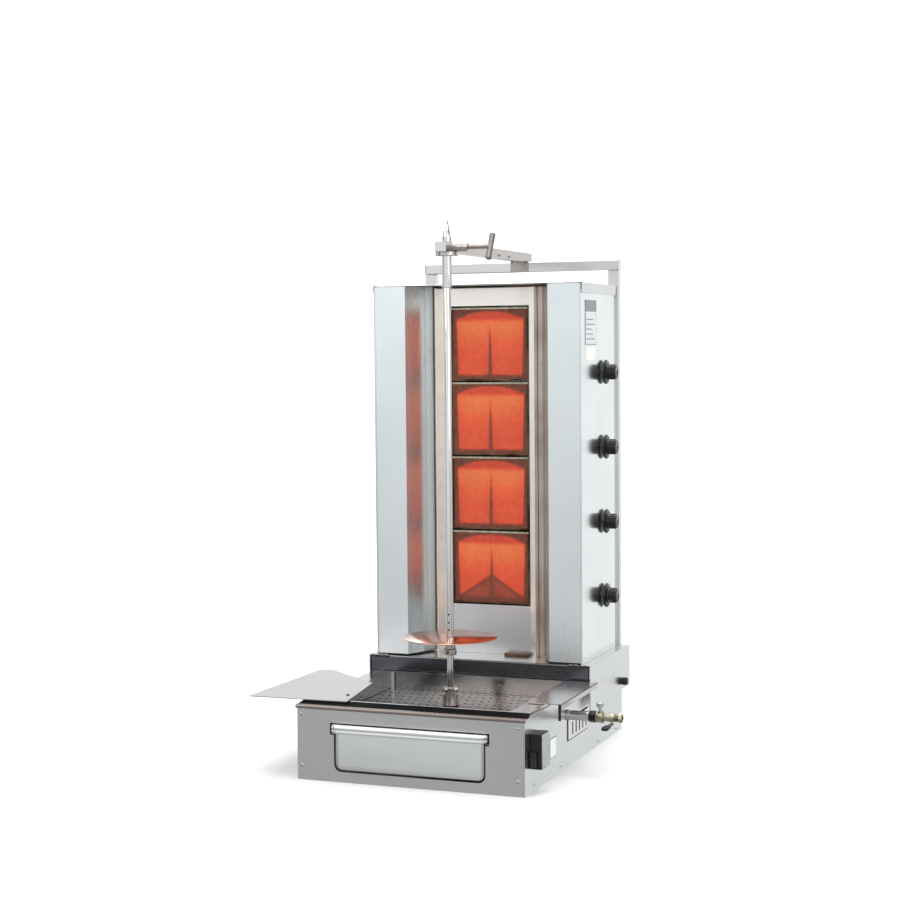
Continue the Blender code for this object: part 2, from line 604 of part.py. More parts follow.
def clamp_screw():
    """The screw that holds the guide sleeve, with its tilted T bar."""
    centre = (0, SPIT_Y, SCREW_Z)
    screw = rod("clamp_screw", 0.0053, ARM_W / 2 + 0.0015, HANDLE_X, STEEL, centre, "X", 16)
    half = 0.032
    bar = [(0, -half), (0.005, -half), (0.007, 0.003 - half), (0.007, half - 0.003), (0.005, half), (0, half)]
    handle = lathe("join_handle", bar, None, (0, 0, 0), "Z", 20)
    handle.location = (HANDLE_X, SPIT_Y, SCREW_Z)
    handle.rotation_euler = (-HANDLE_TILT, 0, 0)
    join(screw, handle)


clear_scene()
base_casing()
drawer()
drip_tray()
gearmotor()
spit()
pedestal()
column_casing()
burners()
knobs()
gas_line()
switch_box()
side_plates()
rear_frame()
clamp_screw()
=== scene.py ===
"""Looks for the vertical rotisserie broiler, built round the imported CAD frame.

Metres, +Z up, front toward -Y.
"""

import json
from math import cos, hypot, pi, radians, sin

import bmesh
import bpy
from mathutils import Matrix, Vector


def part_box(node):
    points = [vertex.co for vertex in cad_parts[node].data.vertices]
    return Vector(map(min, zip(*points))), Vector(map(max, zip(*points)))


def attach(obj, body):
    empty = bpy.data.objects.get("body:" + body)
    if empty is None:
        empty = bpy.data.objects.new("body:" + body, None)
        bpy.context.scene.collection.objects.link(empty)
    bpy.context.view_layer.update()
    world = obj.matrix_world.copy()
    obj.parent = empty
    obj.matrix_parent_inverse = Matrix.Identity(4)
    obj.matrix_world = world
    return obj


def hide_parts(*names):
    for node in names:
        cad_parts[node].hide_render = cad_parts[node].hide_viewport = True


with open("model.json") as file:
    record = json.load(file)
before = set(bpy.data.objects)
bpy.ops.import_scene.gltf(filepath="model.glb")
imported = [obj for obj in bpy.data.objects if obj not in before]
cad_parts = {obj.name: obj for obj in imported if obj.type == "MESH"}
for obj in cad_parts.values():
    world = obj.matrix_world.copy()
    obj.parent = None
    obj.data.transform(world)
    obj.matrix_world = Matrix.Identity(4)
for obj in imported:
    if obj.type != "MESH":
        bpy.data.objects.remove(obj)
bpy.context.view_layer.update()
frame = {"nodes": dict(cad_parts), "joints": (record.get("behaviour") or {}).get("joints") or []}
NODES = frame["nodes"]
JOINTS = {joint["name"]: joint for joint in frame["joints"]}

AXES = {
    "Z": Matrix.Identity(3),
    "X": Matrix(((0, 0, 1), (0, 1, 0), (-1, 0, 0))),
    "Y": Matrix(((1, 0, 0), (0, 0, 1), (0, -1, 0))),
}


# ---------------------------------------------------------------- materials


def linear(red, green, blue):
    """An sRGB colour from 0 to 255, as the linear colour that the shaders take."""
    parts = (value / 255 for value in (red, green, blue))
    return tuple(v / 12.92 if v <= 0.04045 else ((v + 0.055) / 1.055) ** 2.4 for v in parts)


def set_stops(ramp, stops):
    """Gives a colour ramp its stops, each a place and a colour."""
    points = ramp.color_ramp.elements
    while len(points) < len(stops):
        points.new(0.5)
    for point, (place, colour) in zip(points, stops):
        point.position, point.color = place, (*colour, 1)


class Look:
    """A material's node tree, with short calls for the nodes that are used most."""

    def __init__(self, name, colour, roughness, metallic=0.0, **sockets):
        self.material = bpy.data.materials.new(name)
        self.material.use_nodes = True
        self.tree = self.material.node_tree
        self.shader = self.tree.nodes["Principled BSDF"]
        self.set("Base Color", (*colour, 1))
        self.set("Roughness", roughness)
        self.set("Metallic", metallic)
        self.material.diffuse_color = (*colour, 1)
        for socket, value in sockets.items():
            self.set(socket.replace("_", " "), value)

    def set(self, socket, value):
        self.shader.inputs[socket].default_value = value

    def node(self, kind, **settings):
        made = self.tree.nodes.new(kind)
        for key, value in settings.items():
            setattr(made, key, value)
        return made

    def link(self, out, into):
        self.tree.links.new(out, into)

    def place(self, scale=(1, 1, 1)):
        """The point's place in metres, times a scale for each axis."""
        mapping = self.node("ShaderNodeMapping")
        mapping.inputs["Scale"].default_value = scale
        self.link(self.node("ShaderNodeTexCoord").outputs["Object"], mapping.inputs["Vector"])
        return mapping.outputs["Vector"]

    def noise(self, scale, stretch=(1, 1, 1), detail=3.0):
        made = self.node("ShaderNodeTexNoise")
        made.inputs["Scale"].default_value = scale
        made.inputs["Detail"].default_value = detail
        self.link(self.place(stretch), made.inputs["Vector"])
        return made.outputs["Fac"]

    def spread(self, value, low, high, start=0.3, end=0.7):
        """Takes a value from start..end to low..high."""
        made = self.node("ShaderNodeMapRange")
        for socket, number in zip(("From Min", "From Max", "To Min", "To Max"), (start, end, low, high)):
            made.inputs[socket].default_value = number
        self.link(value, made.inputs["Value"])
        return made.outputs["Result"]

    def ramp(self, value, *stops):
        made = self.node("ShaderNodeValToRGB")
        set_stops(made, stops)
        self.link(value, made.inputs["Fac"])
        return made.outputs["Color"]

    def tint(self, value, dark, light, start=0.3, end=0.7):
        self.link(self.ramp(value, (start, dark), (end, light)), self.shader.inputs["Base Color"])

    def rough(self, value, low, high):
        self.link(self.spread(value, low, high), self.shader.inputs["Roughness"])

    def bump(self, value, height, strength=0.5):
        made = self.node("ShaderNodeBump")
        made.inputs["Strength"].default_value = strength
        made.inputs["Distance"].default_value = height
        self.link(value, made.inputs["Height"])
        if self.shader.inputs["Normal"].links:
            self.link(self.shader.inputs["Normal"].links[0].from_socket, made.inputs["Normal"])
        self.link(made.outputs["Normal"], self.shader.inputs["Normal"])


def shade(colour, factor):
    return tuple(min(1.0, c * factor) for c in colour)


def brushed(name, colour, roughness, grain="Z", swing=0.04, height=0.00002):
    """Stainless sheet: fine scratches along the grain, faint cloudy patches and a few smears."""
    look = Look(name, colour, roughness, 1.0)
    stretch = tuple(6.0 if axis == grain else 1400.0 for axis in "XYZ")
    lines = look.noise(1.0, stretch, 4.0)
    clouds = look.noise(7.0, detail=2.0)
    look.tint(clouds, shade(colour, 0.96), shade(colour, 1.02))
    look.rough(lines, roughness - swing, roughness + swing)
    look.bump(lines, height, 0.15)
    look.bump(look.noise(9.0, detail=1.0), 0.0006, 0.1)
    return look.material


def polished(name, colour, roughness, wave=0.0004):
    """Polished sheet or bar: near mirror, with slight waves, hairlines and finger marks."""
    look = Look(name, colour, roughness, 1.0)
    marks = look.noise(26.0, detail=6.0)
    look.tint(marks, shade(colour, 0.96), shade(colour, 1.02))
    look.rough(marks, max(0.02, roughness - 0.03), roughness + 0.07)
    look.bump(look.noise(11.0, detail=1.0), wave, 0.1)
    look.bump(look.noise(420.0, (1, 0.05, 1), 2.0), 0.00001, 0.3)
    return look.material


def heat_tinted(name, cold, hot, roughness):
    """Steel beside the burners: straw and brown oxide that clouds along it."""
    look = Look(name, cold, roughness, 1.0)
    clouds = look.noise(22.0, (1, 1, 0.5), 6.0)
    look.tint(clouds, hot, cold, 0.35, 0.62)
    look.rough(clouds, roughness + 0.1, roughness - 0.05)
    look.bump(look.noise(300.0), 0.00008, 0.3)
    return look.material


def dead_black():
    """The ledge's black finish: almost no shine, with a faint grain and a few greyer rubs."""
    look = Look("ledge_black", linear(5, 5, 6), 0.75, Specular_IOR_Level=0.06)
    look.tint(look.noise(30.0, detail=5.0), linear(4, 4, 5), linear(16, 16, 17))
    look.rough(look.noise(80.0), 0.65, 0.85)
    look.bump(look.noise(600.0, detail=1.0), 0.00005, 0.3)
    return look.material


def tray_floor_painted_glow():
    """The tray's perforated floor: dark polished steel, with a painted warm reflection of the burners' glow
    that grows toward the right, broken up by noise blotches.
    """
    cool, warm = linear(106, 110, 108), linear(176, 158, 152)
    look = Look("tray_floor_steel_painted_glow", cool, 0.16, 1.0)
    across = look.node("ShaderNodeSeparateXYZ")
    look.link(look.place(), across.inputs[0])
    # Painted reflection of the burners' glow: the colour warms from left to right along X, with noise
    # blotches mixed in.
    side = look.spread(across.outputs["X"], 0.0, 0.8, -0.16, 0.08)
    blotch_and_painted_glow = look.node("ShaderNodeMath", operation="MULTIPLY_ADD")
    look.link(look.noise(14.0, detail=5.0), blotch_and_painted_glow.inputs[0])
    blotch_and_painted_glow.inputs[1].default_value = 0.4
    look.link(side, blotch_and_painted_glow.inputs[2])
    look.tint(blotch_and_painted_glow.outputs[0], cool, warm, 0.25, 0.95)
    look.rough(look.noise(40.0, detail=5.0), 0.12, 0.26)
    look.bump(look.noise(9.0, detail=1.0), 0.001, 0.1)
    return look.material


def moulded(name, colour, roughness, grain=900.0, height=0.00006):
    """Moulded plastic with a fine spark texture and worn, slightly lighter patches."""
    look = Look(name, colour, roughness)
    look.tint(look.noise(35.0), colour, shade(colour, 1.35))
    look.rough(look.noise(120.0), roughness - 0.08, roughness + 0.1)
    look.bump(look.noise(grain, detail=1.0), height, 0.4)
    return look.material


def brass_like(name, colour, roughness):
    """Plated brass with dull patches in its corners."""
    look = Look(name, colour, roughness, 1.0)
    patches = look.noise(160.0, detail=5.0)
    look.tint(patches, shade(colour, 0.62), colour, 0.36, 0.6)
    look.rough(patches, roughness + 0.18, roughness - 0.06)
    look.bump(look.noise(700.0), 0.00004, 0.3)
    return look.material


def cast(name, colour, roughness):
    look = Look(name, colour, roughness, 0.6)
    look.tint(look.noise(40.0), shade(colour, 0.8), shade(colour, 1.2))
    look.rough(look.noise(90.0), roughness - 0.1, roughness + 0.1)
    look.bump(look.noise(260.0, detail=5.0), 0.0004, 0.5)
    return look.material


def paper(name, colour):
    look = Look(name, colour, 0.45)
    look.tint(look.noise(60.0), shade(colour, 0.93), colour)
    look.bump(look.noise(500.0), 0.00003, 0.2)
    return look.material


def glowing_ceramic():
    """The piece's plate_glow attribute colours the plates: black-brown when cold, then red, then orange."""
    look = Look("glowing_ceramic", linear(78, 52, 42), 0.85)
    heat = look.node("ShaderNodeAttribute", attribute_name="plate_glow").outputs["Fac"]
    pores = look.node("ShaderNodeTexVoronoi")
    pores.inputs["Scale"].default_value = 420.0
    look.link(look.place(), pores.inputs["Vector"])
    speckle = look.spread(pores.outputs["Distance"], 0.86, 1.06, 0.15, 0.55)
    uneven = look.spread(look.noise(16.0, detail=4.0), 0.95, 1.04)
    cold, dull, red, orange, bright = (
        linear(50, 36, 32), linear(112, 46, 38), linear(216, 60, 40),
        linear(238, 90, 50), linear(242, 132, 72),
    )  # fmt: skip
    colour = look.ramp(heat, (0.0, cold), (0.16, dull), (0.38, red), (0.72, orange), (1.0, bright))
    strength = look.node("ShaderNodeMath", operation="MULTIPLY")
    look.link(speckle, strength.inputs[0])
    look.link(uneven, strength.inputs[1])
    look.tint(look.noise(60.0), linear(64, 44, 38), linear(92, 62, 50))
    look.link(colour, look.shader.inputs["Emission Color"])
    look.link(strength.outputs[0], look.shader.inputs["Emission Strength"])
    look.bump(pores.outputs["Distance"], 0.0008, 0.6)
    return look.material


def hot_mesh():
    """The wires take the glow's colour behind them, dimmed: brown steel where the plates are dark."""
    look = Look("hot_mesh", linear(120, 88, 70), 0.55, 0.8)
    look.tint(look.noise(90.0), linear(98, 70, 56), linear(150, 112, 88))
    look.set("Emission Color", (*linear(176, 60, 38), 1))
    look.set("Emission Strength", 0.35)
    look.bump(look.noise(900.0), 0.00005, 0.3)
    return look.material


MATERIAL = {
    "wing": brushed("steel_wing", linear(240, 246, 248), 0.28, "Z", 0.03),
    "liner": heat_tinted("liner_steel", linear(206, 192, 182), linear(176, 156, 142), 0.3),
    "side": brushed("steel_side", linear(236, 240, 238), 0.17, "Z", 0.04),
    "base": brushed("steel_base", linear(206, 206, 205), 0.34, "X"),
    "base_side": brushed("steel_base_side", linear(222, 223, 222), 0.26, "Y"),
    "pan": brushed("steel_pan", linear(246, 247, 247), 0.36, "X"),
    "tube": brushed("steel_tube", linear(222, 221, 219), 0.2, "Z"),
    "plate": brushed("steel_plate", linear(204, 196, 195), 0.24, "Y"),
    "lower": brushed("steel_lower", linear(214, 214, 215), 0.32, "Z"),
    "dull": brushed("steel_dull", linear(150, 150, 150), 0.45, "X"),
    "dark": brushed("steel_dark", linear(98, 98, 104), 0.25, "X"),
    "bright": polished("polished_steel", linear(226, 223, 220), 0.09),
    "tray": polished("tray_steel", linear(206, 204, 202), 0.13, 0.0012),
    "disc": heat_tinted("disc_steel", linear(226, 184, 168), linear(204, 146, 128), 0.16),
    "trim": polished("trim_steel", linear(253, 247, 241), 0.2),
    "boss": brushed("steel_boss", linear(168, 160, 154), 0.26, "X"),
    "ledge": dead_black(),
    "arm": brushed("steel_arm", linear(196, 190, 186), 0.24, "Y"),
    "tray_floor": tray_floor_painted_glow(),
    "nose": brushed("steel_nose", linear(136, 126, 122), 0.34, "X"),
    "oxide": heat_tinted("burner_steel", linear(128, 106, 84), linear(62, 46, 38), 0.45),
    "brown": heat_tinted("brown_steel", linear(120, 96, 84), linear(84, 66, 58), 0.4),
    "black": moulded("black_plastic", linear(10, 10, 11), 0.34),
    "rocker": moulded("rocker_plastic", linear(30, 30, 33), 0.28, 600.0),
    "seal": moulded("black_seal", linear(22, 22, 22), 0.55),
    "grey": moulded("grey_plastic", linear(150, 151, 152), 0.4),
    "brass": brass_like("plated_brass", linear(196, 190, 168), 0.26),
    "motor": cast("cast_motor", linear(112, 114, 118), 0.5),
    "label": paper("label_face", linear(214, 220, 220)),
    "header": paper("label_header", linear(132, 140, 142)),
    "white": paper("label_white", linear(246, 247, 246)),
    "sticker": paper("sticker_face", linear(243, 240, 214)),
    # Near-black for holes, recesses and gaps: painted shade where their insides lie in shadow.
    "void": moulded("painted_hole_shade", linear(12, 11, 11), 0.8),
    "ceramic": glowing_ceramic(),
    "mesh": hot_mesh(),
}


# ---------------------------------------------------------------- piece making


def piece(name, bm, material, body="body", slot=None, replaces=(), smooth=30.0, bevel=0.0):
    """Makes a piece from world-space bmesh bm, smooth where its faces meet at less than that many degrees."""
    bmesh.ops.recalc_face_normals(bm, faces=bm.faces)
    mesh = bpy.data.meshes.new(name)
    bm.to_mesh(mesh)
    bm.free()
    obj = bpy.data.objects.new(name, mesh)
    bpy.context.scene.collection.objects.link(obj)
    for one in material if isinstance(material, (list, tuple)) else [material]:
        mesh.materials.append(MATERIAL[one])
    if bevel:
        rounding = obj.modifiers.new("rounded", "BEVEL")
        rounding.width, rounding.segments, rounding.limit_method = bevel, 3, "ANGLE"
        rounding.harden_normals = True
    mesh.shade_smooth()
    mesh.set_sharp_from_angle(angle=radians(smooth))
    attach(obj, body)
    if replaces:
        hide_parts(*replaces)


def add_box(bm, low, high, material=0):
    made = bmesh.ops.create_cube(bm, size=1)["verts"]
    low, high = zip(*(sorted(pair) for pair in zip(low, high)))
    size, middle = Vector(high) - Vector(low), (Vector(high) + Vector(low)) / 2
    bmesh.ops.transform(bm, matrix=Matrix.Translation(middle) @ Matrix.Diagonal((*size, 1)), verts=made)
    for face in {face for vert in made for face in vert.link_faces}:
        face.material_index = material
    return made


def add_turned(bm, profile, centre, axis="Z", segments=48, material=0, flats=0):
    """Adds a profile of (radius, height) points turned about an axis. With flats, it becomes a polygon's."""
    turn, centre = AXES[axis], Vector(centre)
    count = flats or segments
    rings = []
    for radius, height in profile:
        if radius == 0:
            rings.append([bm.verts.new(centre + turn @ Vector((0, 0, height)))])
        else:
            angles = [2 * pi * k / count for k in range(count)]
            points = [Vector((radius * cos(a), radius * sin(a), height)) for a in angles]
            rings.append([bm.verts.new(centre + turn @ point) for point in points])
    pairs = list(zip(rings, rings[1:]))
    if profile[0][0] > 0 and profile[-1][0] > 0:
        pairs.append((rings[-1], rings[0]))
    for ring, after in pairs:
        if len(ring) == len(after) == 1:
            continue
        for k in range(count):
            m = (k + 1) % count
            if len(ring) == 1:
                face = bm.faces.new((ring[0], after[k], after[m]))
            elif len(after) == 1:
                face = bm.faces.new((ring[m], ring[k], after[0]))
            else:
                face = bm.faces.new((ring[k], after[k], after[m], ring[m]))
            face.material_index = material
    return [vert for ring in rings for vert in ring]


def add_prism(bm, outline, low, high, axis="Z", material=0):
    """Adds an outline extruded along an axis. Its points are the other two coordinates, in X, Y, Z order."""
    place = {
        "X": lambda a, b, c: (c, a, b),
        "Y": lambda a, b, c: (a, c, b),
        "Z": lambda a, b, c: (a, b, c),
    }[axis]
    lower = [bm.verts.new(place(a, b, low)) for a, b in outline]
    upper = [bm.verts.new(place(a, b, high)) for a, b in outline]
    faces = [bm.faces.new(lower[::-1]), bm.faces.new(upper)]
    for i, _ in enumerate(outline):
        j = (i + 1) % len(outline)
        faces.append(bm.faces.new((lower[i], lower[j], upper[j], upper[i])))
    for face in faces:
        face.material_index = material
    return lower + upper


def arc(centre, radius, start, end, steps):
    """Points round a centre, from one angle in degrees to another."""
    angles = [radians(start + (end - start) * k / steps) for k in range(steps + 1)]
    return [(centre[0] + radius * cos(a), centre[1] + radius * sin(a)) for a in angles]


def rounded_rectangle(x0, y0, x1, y1, radius, steps=10):
    points = arc((x1 - radius, y1 - radius), radius, 0, 90, steps)
    points += arc((x0 + radius, y1 - radius), radius, 90, 180, steps)
    points += arc((x0 + radius, y0 + radius), radius, 180, 270, steps)
    return points + arc((x1 - radius, y0 + radius), radius, 270, 360, steps)


def add_rings(bm, levels):
    """Joins rounded rectangles (x0, y0, x1, y1, corner radius, z) one to the next, and caps the ends."""
    rings = [[bm.verts.new((x, y, level[5])) for x, y in rounded_rectangle(*level[:5])] for level in levels]
    for ring, after in zip(rings, rings[1:]):
        for k in range(len(ring)):
            m = (k + 1) % len(ring)
            bm.faces.new((ring[k], ring[m], after[m], after[k]))
    bm.faces.new(rings[0][::-1])
    bm.faces.new(rings[-1])


def add_ribs(bm, count, low, high, y, z):
    """Adds a box, given at the top of a knob that lies on X, count times round the knob's axis."""
    for n in range(count):
        rib = add_box(bm, low, high)
        turn = Matrix.Translation((0, y, z)) @ Matrix.Rotation(2 * pi * n / count, 4, "X")
        bmesh.ops.transform(bm, matrix=turn, verts=rib)


def turned(name, profile, centre, material, axis="Z", **settings):
    bm = bmesh.new()
    add_turned(bm, profile, centre, axis, settings.pop("segments", 64), flats=settings.pop("flats", 0))
    piece(name, bm, material, **settings)


# ---------------------------------------------------------------- CAD nodes that keep their shape

KEPT = {
    "wing": "left_wing right_wing",
    "side": "column_left_side column_right_side column_rear_panel",
    "base": "front_panel",
    "base_side": "base_left_side base_right_side base_rear_panel pedestal_left_cheek pedestal_right_cheek"
    " pedestal_top",
    "tube": "left_frame_leg right_frame_leg frame_top_rail",
    "arm": "top_arm",
    "plate": "left_side_plate right_side_plate",
    "lower": "lower_front_plate",
    "trim": "left_trim right_trim upper_front_plate",
    "dull": "base_floor left_drawer_runner right_drawer_runner frame_bracket",
    "dark": "pedestal_front_wall",
    "tray": "drip_tray",
    "brass": "gas_manifold",
    "motor": "gearmotor",
    "bright": " ".join(f"valve_spindle_{k}" for k in range(1, 5)),
}
SOFT_EDGE = {"left_wing": 0.0006, "right_wing": 0.0006, "front_panel": 0.0008, "left_side_plate": 0.0007,
             "right_side_plate": 0.0007, "drip_tray": 0.0008, "base_right_side": 0.0007}  # fmt: skip


def finish_kept_nodes():
    for material, names in KEPT.items():
        for name in names.split():
            node = NODES[name]
            node.data.materials.clear()
            node.data.materials.append(MATERIAL[material])
            if name in SOFT_EDGE:
                rounding = node.modifiers.new("rounded", "BEVEL")
                rounding.width, rounding.segments, rounding.limit_method = SOFT_EDGE[name], 2, "ANGLE"


# ---------------------------------------------------------------- burners

BURNER_COUNT = 4
PLATE_COLUMNS, PLATE_ROWS = 84, 76


def smooth_step(low, high, value):
    t = min(1.0, max(0.0, (value - low) / (high - low)))
    return t * t * (3 - 2 * t)


def plate_heat(u, v, lowest):
    """How hot the plates look, 0 to 1. u runs -1 to 1 across both plates, v runs 0 to 1 up them."""
    arch = 0.99 - 0.135 * abs(u) ** 2.3
    inside = smooth_step(0, 0.05, arch - v) * smooth_step(0.03, 0.09, v)
    inside *= smooth_step(0, 0.07, 0.955 - abs(u) - 0.05 * (1 - v))
    band = smooth_step(0.8, 0.875, v)  # the redder arch above the plates' shoulder
    heat = 0.56 + 0.38 * smooth_step(0.25, 0.8, v) * (1 - band) - 0.2 * band
    heat -= 0.1 * smooth_step(0.5, 1.0, abs(u)) + 0.12 * (1 - smooth_step(0.0, 0.35, abs(u))) * (1 - v)
    seam_half = 0.03 + 0.022 * (1 - smooth_step(0.1, 0.6, v))
    seam = (1 - smooth_step(seam_half * 0.5, seam_half * 1.6, abs(u))) * (1 - smooth_step(0.52, 0.84, v))
    heat *= 1 - 0.78 * seam
    if lowest:  # a dark chevron, with a dull triangle below it
        ridge = 0.4 - 0.36 * abs(u)
        line = 1 - smooth_step(0.0, 0.055, abs(v - ridge + 0.03))
        below = smooth_step(-0.02, 0.05, ridge - v)
        heat *= (1 - 0.62 * below) * (1 - 0.6 * line)
    return max(0.0, heat * inside)


def burner_plates(k, low, high):
    """Both ceramic plates of one burner, with the heat on each point."""
    front, lowest = low.y + 0.0045, k == 1
    bm = bmesh.new()
    inset = 0.0035
    x0, x1, z0, z1 = low.x + inset, high.x - inset, low.z + inset, high.z - inset
    layer = bm.verts.layers.float.new("plate_glow")
    grid = []
    for row in range(PLATE_ROWS + 1):
        v = row / PLATE_ROWS
        line = []
        for column in range(PLATE_COLUMNS + 1):
            u = 2 * column / PLATE_COLUMNS - 1
            groove = 0.0016 * (1 - smooth_step(0.0, 0.035, abs(u)))
            vert = bm.verts.new((x0 + (u + 1) / 2 * (x1 - x0), front + groove, z0 + v * (z1 - z0)))
            vert[layer] = plate_heat(u, v, lowest)
            line.append(vert)
        grid.append(line)
    for lower, upper in zip(grid, grid[1:]):
        for c in range(PLATE_COLUMNS):
            bm.faces.new((lower[c], lower[c + 1], upper[c + 1], upper[c]))
    back = [bm.verts.new((x, front + 0.012, z)) for x, z in ((x0, z0), (x1, z0), (x1, z1), (x0, z1))]
    bm.faces.new(back[::-1])
    edges = (grid[0], [line[-1] for line in grid], grid[-1][::-1], [line[0] for line in grid][::-1])
    for n, edge in enumerate(edges):
        bm.faces.new([*edge[::-1], back[n], back[(n + 1) % 4]])
    piece(f"ceramic_plates_{k}", bm, "ceramic", slot="burner", smooth=60)


def burner_box(k, low, high):
    """The burner's steel box: a flanged rim round the plates, a deeper body behind, and a retaining bar."""
    bm = bmesh.new()
    rim, depth = 0.004, 0.006
    front = low.y + 0.001
    for x in ((low.x, low.x + rim), (high.x - rim, high.x)):
        add_box(bm, (x[0], front, low.z), (x[1], front + depth, high.z))
    for z in ((low.z, low.z + rim), (high.z - rim, high.z)):
        add_box(bm, (low.x + rim, front, z[0]), (high.x - rim, front + depth, z[1]))
    add_box(bm, (low.x + 0.001, front + 0.0165, low.z + 0.001), (high.x - 0.001, high.y, high.z - 0.001))
    add_box(bm, (low.x, front - 0.003, high.z - 0.0052), (high.x, front - 0.0002, high.z - 0.0012), 1)
    piece(f"burner_box_{k}", bm, ["oxide", "brass"], slot="burner", replaces=[f"burner_{k}"], bevel=0.0004)


def burner_mesh(k, low, high):
    """Crossed wires on the slant, in front of the plates."""
    bm = bmesh.new()
    pitch, half = 0.0036, 0.00028
    y = low.y - 0.0004
    x0, x1, z0, z1 = low.x + 0.0035, high.x - 0.0035, low.z + 0.0035, high.z - 0.0056
    slope = 0.62  # rise over run: wires lie flatter than 45 degrees
    step = pitch * hypot(1, slope)
    for side in (1, -1):
        lift = 0.00022 * side
        first = z0 - slope * (x1 - x0)
        for n in range(int((z1 - first) / step) + 1):
            start = first + n * step
            ends = []
            for x in sorted({x0, x1, *(x0 + (z - start) / slope for z in (z0, z1))}):
                z = start + slope * (x - x0)
                if x0 - 1e-7 <= x <= x1 + 1e-7 and z0 - 1e-7 <= z <= z1 + 1e-7:
                    ends.append((x if side > 0 else x0 + x1 - x, z))
            if len(ends) < 2 or hypot(ends[0][0] - ends[-1][0], ends[0][1] - ends[-1][1]) < 0.004:
                continue
            (xa, za), (xb, zb) = ends[0], ends[-1]
            across = Vector((-(zb - za), xb - xa)).normalized() * half
            corners = [(xa, za, 1), (xb, zb, 1), (xb, zb, -1), (xa, za, -1)]
            outline = [(x + sign * across.x, z + sign * across.y) for x, z, sign in corners]
            add_prism(bm, outline, y + lift - half, y + lift + half, "Y")
    piece(f"wire_mesh_{k}", bm, "mesh", slot="burner", smooth=60)


def burners():
    for k in range(1, BURNER_COUNT + 1):
        low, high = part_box(f"burner_{k}")
        burner_box(k, low, high)
        burner_plates(k, low, high)
        burner_mesh(k, low, high)


# ---------------------------------------------------------------- spit and its drive


def spit():
    low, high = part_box("meat_disc")
    x, y, z = (low + high) / 2
    radius, half = (high.x - low.x) / 2, (high.z - low.z) / 2
    disc = [(0.0079, -half), (radius - 0.0012, -half), (radius - 0.0003, -half * 0.5), (radius, 0)]
    disc += [(radius - 0.0003, half * 0.5), (radius - 0.0012, half), (0.0079, half)]
    turned(
        "meat_disc_polished", disc, (x, y, z), "disc",
        body="spit", slot="polished", replaces=["meat_disc"], segments=128,
    )  # fmt: skip
    spit_rod(x, y, z + half)
    hub(x, y)
    cup(x, y)


def turned_on_spit(name, profile, x, y, material, slot, node):
    turned(name, profile, (x, y, 0), material, body="spit", slot=slot, replaces=[node])


def spit_rod(x, y, disc_top):
    low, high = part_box("spit_rod")
    thin, thick = 0.0075, (high.x - low.x) / 2
    tip = high.z
    profile = [(0, low.z), (thin, low.z), (thin, 0.2032), (0.0064, 0.2039), (0.0064, 0.2051), (thin, 0.2058)]
    profile += [(thin, disc_top + 0.0003), (thick - 0.0006, disc_top + 0.0003), (thick, disc_top + 0.001)]
    profile += [(thick, tip - 0.031), (thick - 0.0004, tip - 0.03), (0.006, tip - 0.018)]
    profile += [(0.0036, tip - 0.006), (0.0018, tip - 0.0012), (0, tip)]
    turned_on_spit("spit_rod_polished", profile, x, y, "bright", "polished", "spit_rod")
    # Dark discs in the rod's pin holes: painted shade for the inside of each hole.
    bm = bmesh.new()
    for height in (0.296, 0.312, 0.33):
        add_turned(bm, [(0, -0.0002), (0.0022, -0.0002), (0.0022, 0.0004), (0, 0.0004)],
                   (x, y - thick + 0.0001, height), "Y", 20)  # fmt: skip
    piece("spit_pin_holes", bm, "void", body="spit", slot="polished")


def hub(x, y):
    low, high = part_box("disc_hub")
    profile = [(0.0078, low.z), (0.0128, low.z), (0.014, low.z + 0.0012), (0.014, 0.253), (0.0134, 0.2541)]
    profile += [(0.0118, 0.2548), (0.0112, 0.258), (0.0112, high.z), (0.0078, high.z)]
    turned_on_spit("disc_hub_turned", profile, x, y, "boss", "dark_steel", "disc_hub")
    bm = bmesh.new()
    add_turned(bm, [(0, 0), (0.003, 0), (0.0034, 0.0006), (0.0034, 0.0022), (0, 0.0022)],
               (x, y - 0.0158, 0.2478), "Y", 24)  # fmt: skip
    add_turned(bm, [(0, -0.0003), (0.0016, -0.0003), (0, 0.0006)], (x, y - 0.0158, 0.2478), "Y", flats=6)
    piece("hub_set_screw", bm, "dark", body="spit", slot="dark_steel")


def cup(x, y):
    low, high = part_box("drive_cup")
    r, top, floor = (high.x - low.x) / 2, high.z, 0.1277
    profile = [(0, low.z), (0.009, low.z), (0.009, floor), (r - 0.002, floor), (r, floor + 0.002)]
    profile += [(r, top - 0.012), (r - 0.0009, top - 0.0112), (r - 0.0009, top - 0.0098), (r, top - 0.009)]
    profile += [(r, top - 0.0022), (r - 0.0016, top), (0.0105, top), (0.0095, top - 0.0012)]
    profile += [(0.0095, top - 0.0178), (0, top - 0.0178)]
    turned_on_spit("drive_cup_turned", profile, x, y, "bright", "polished", "drive_cup")


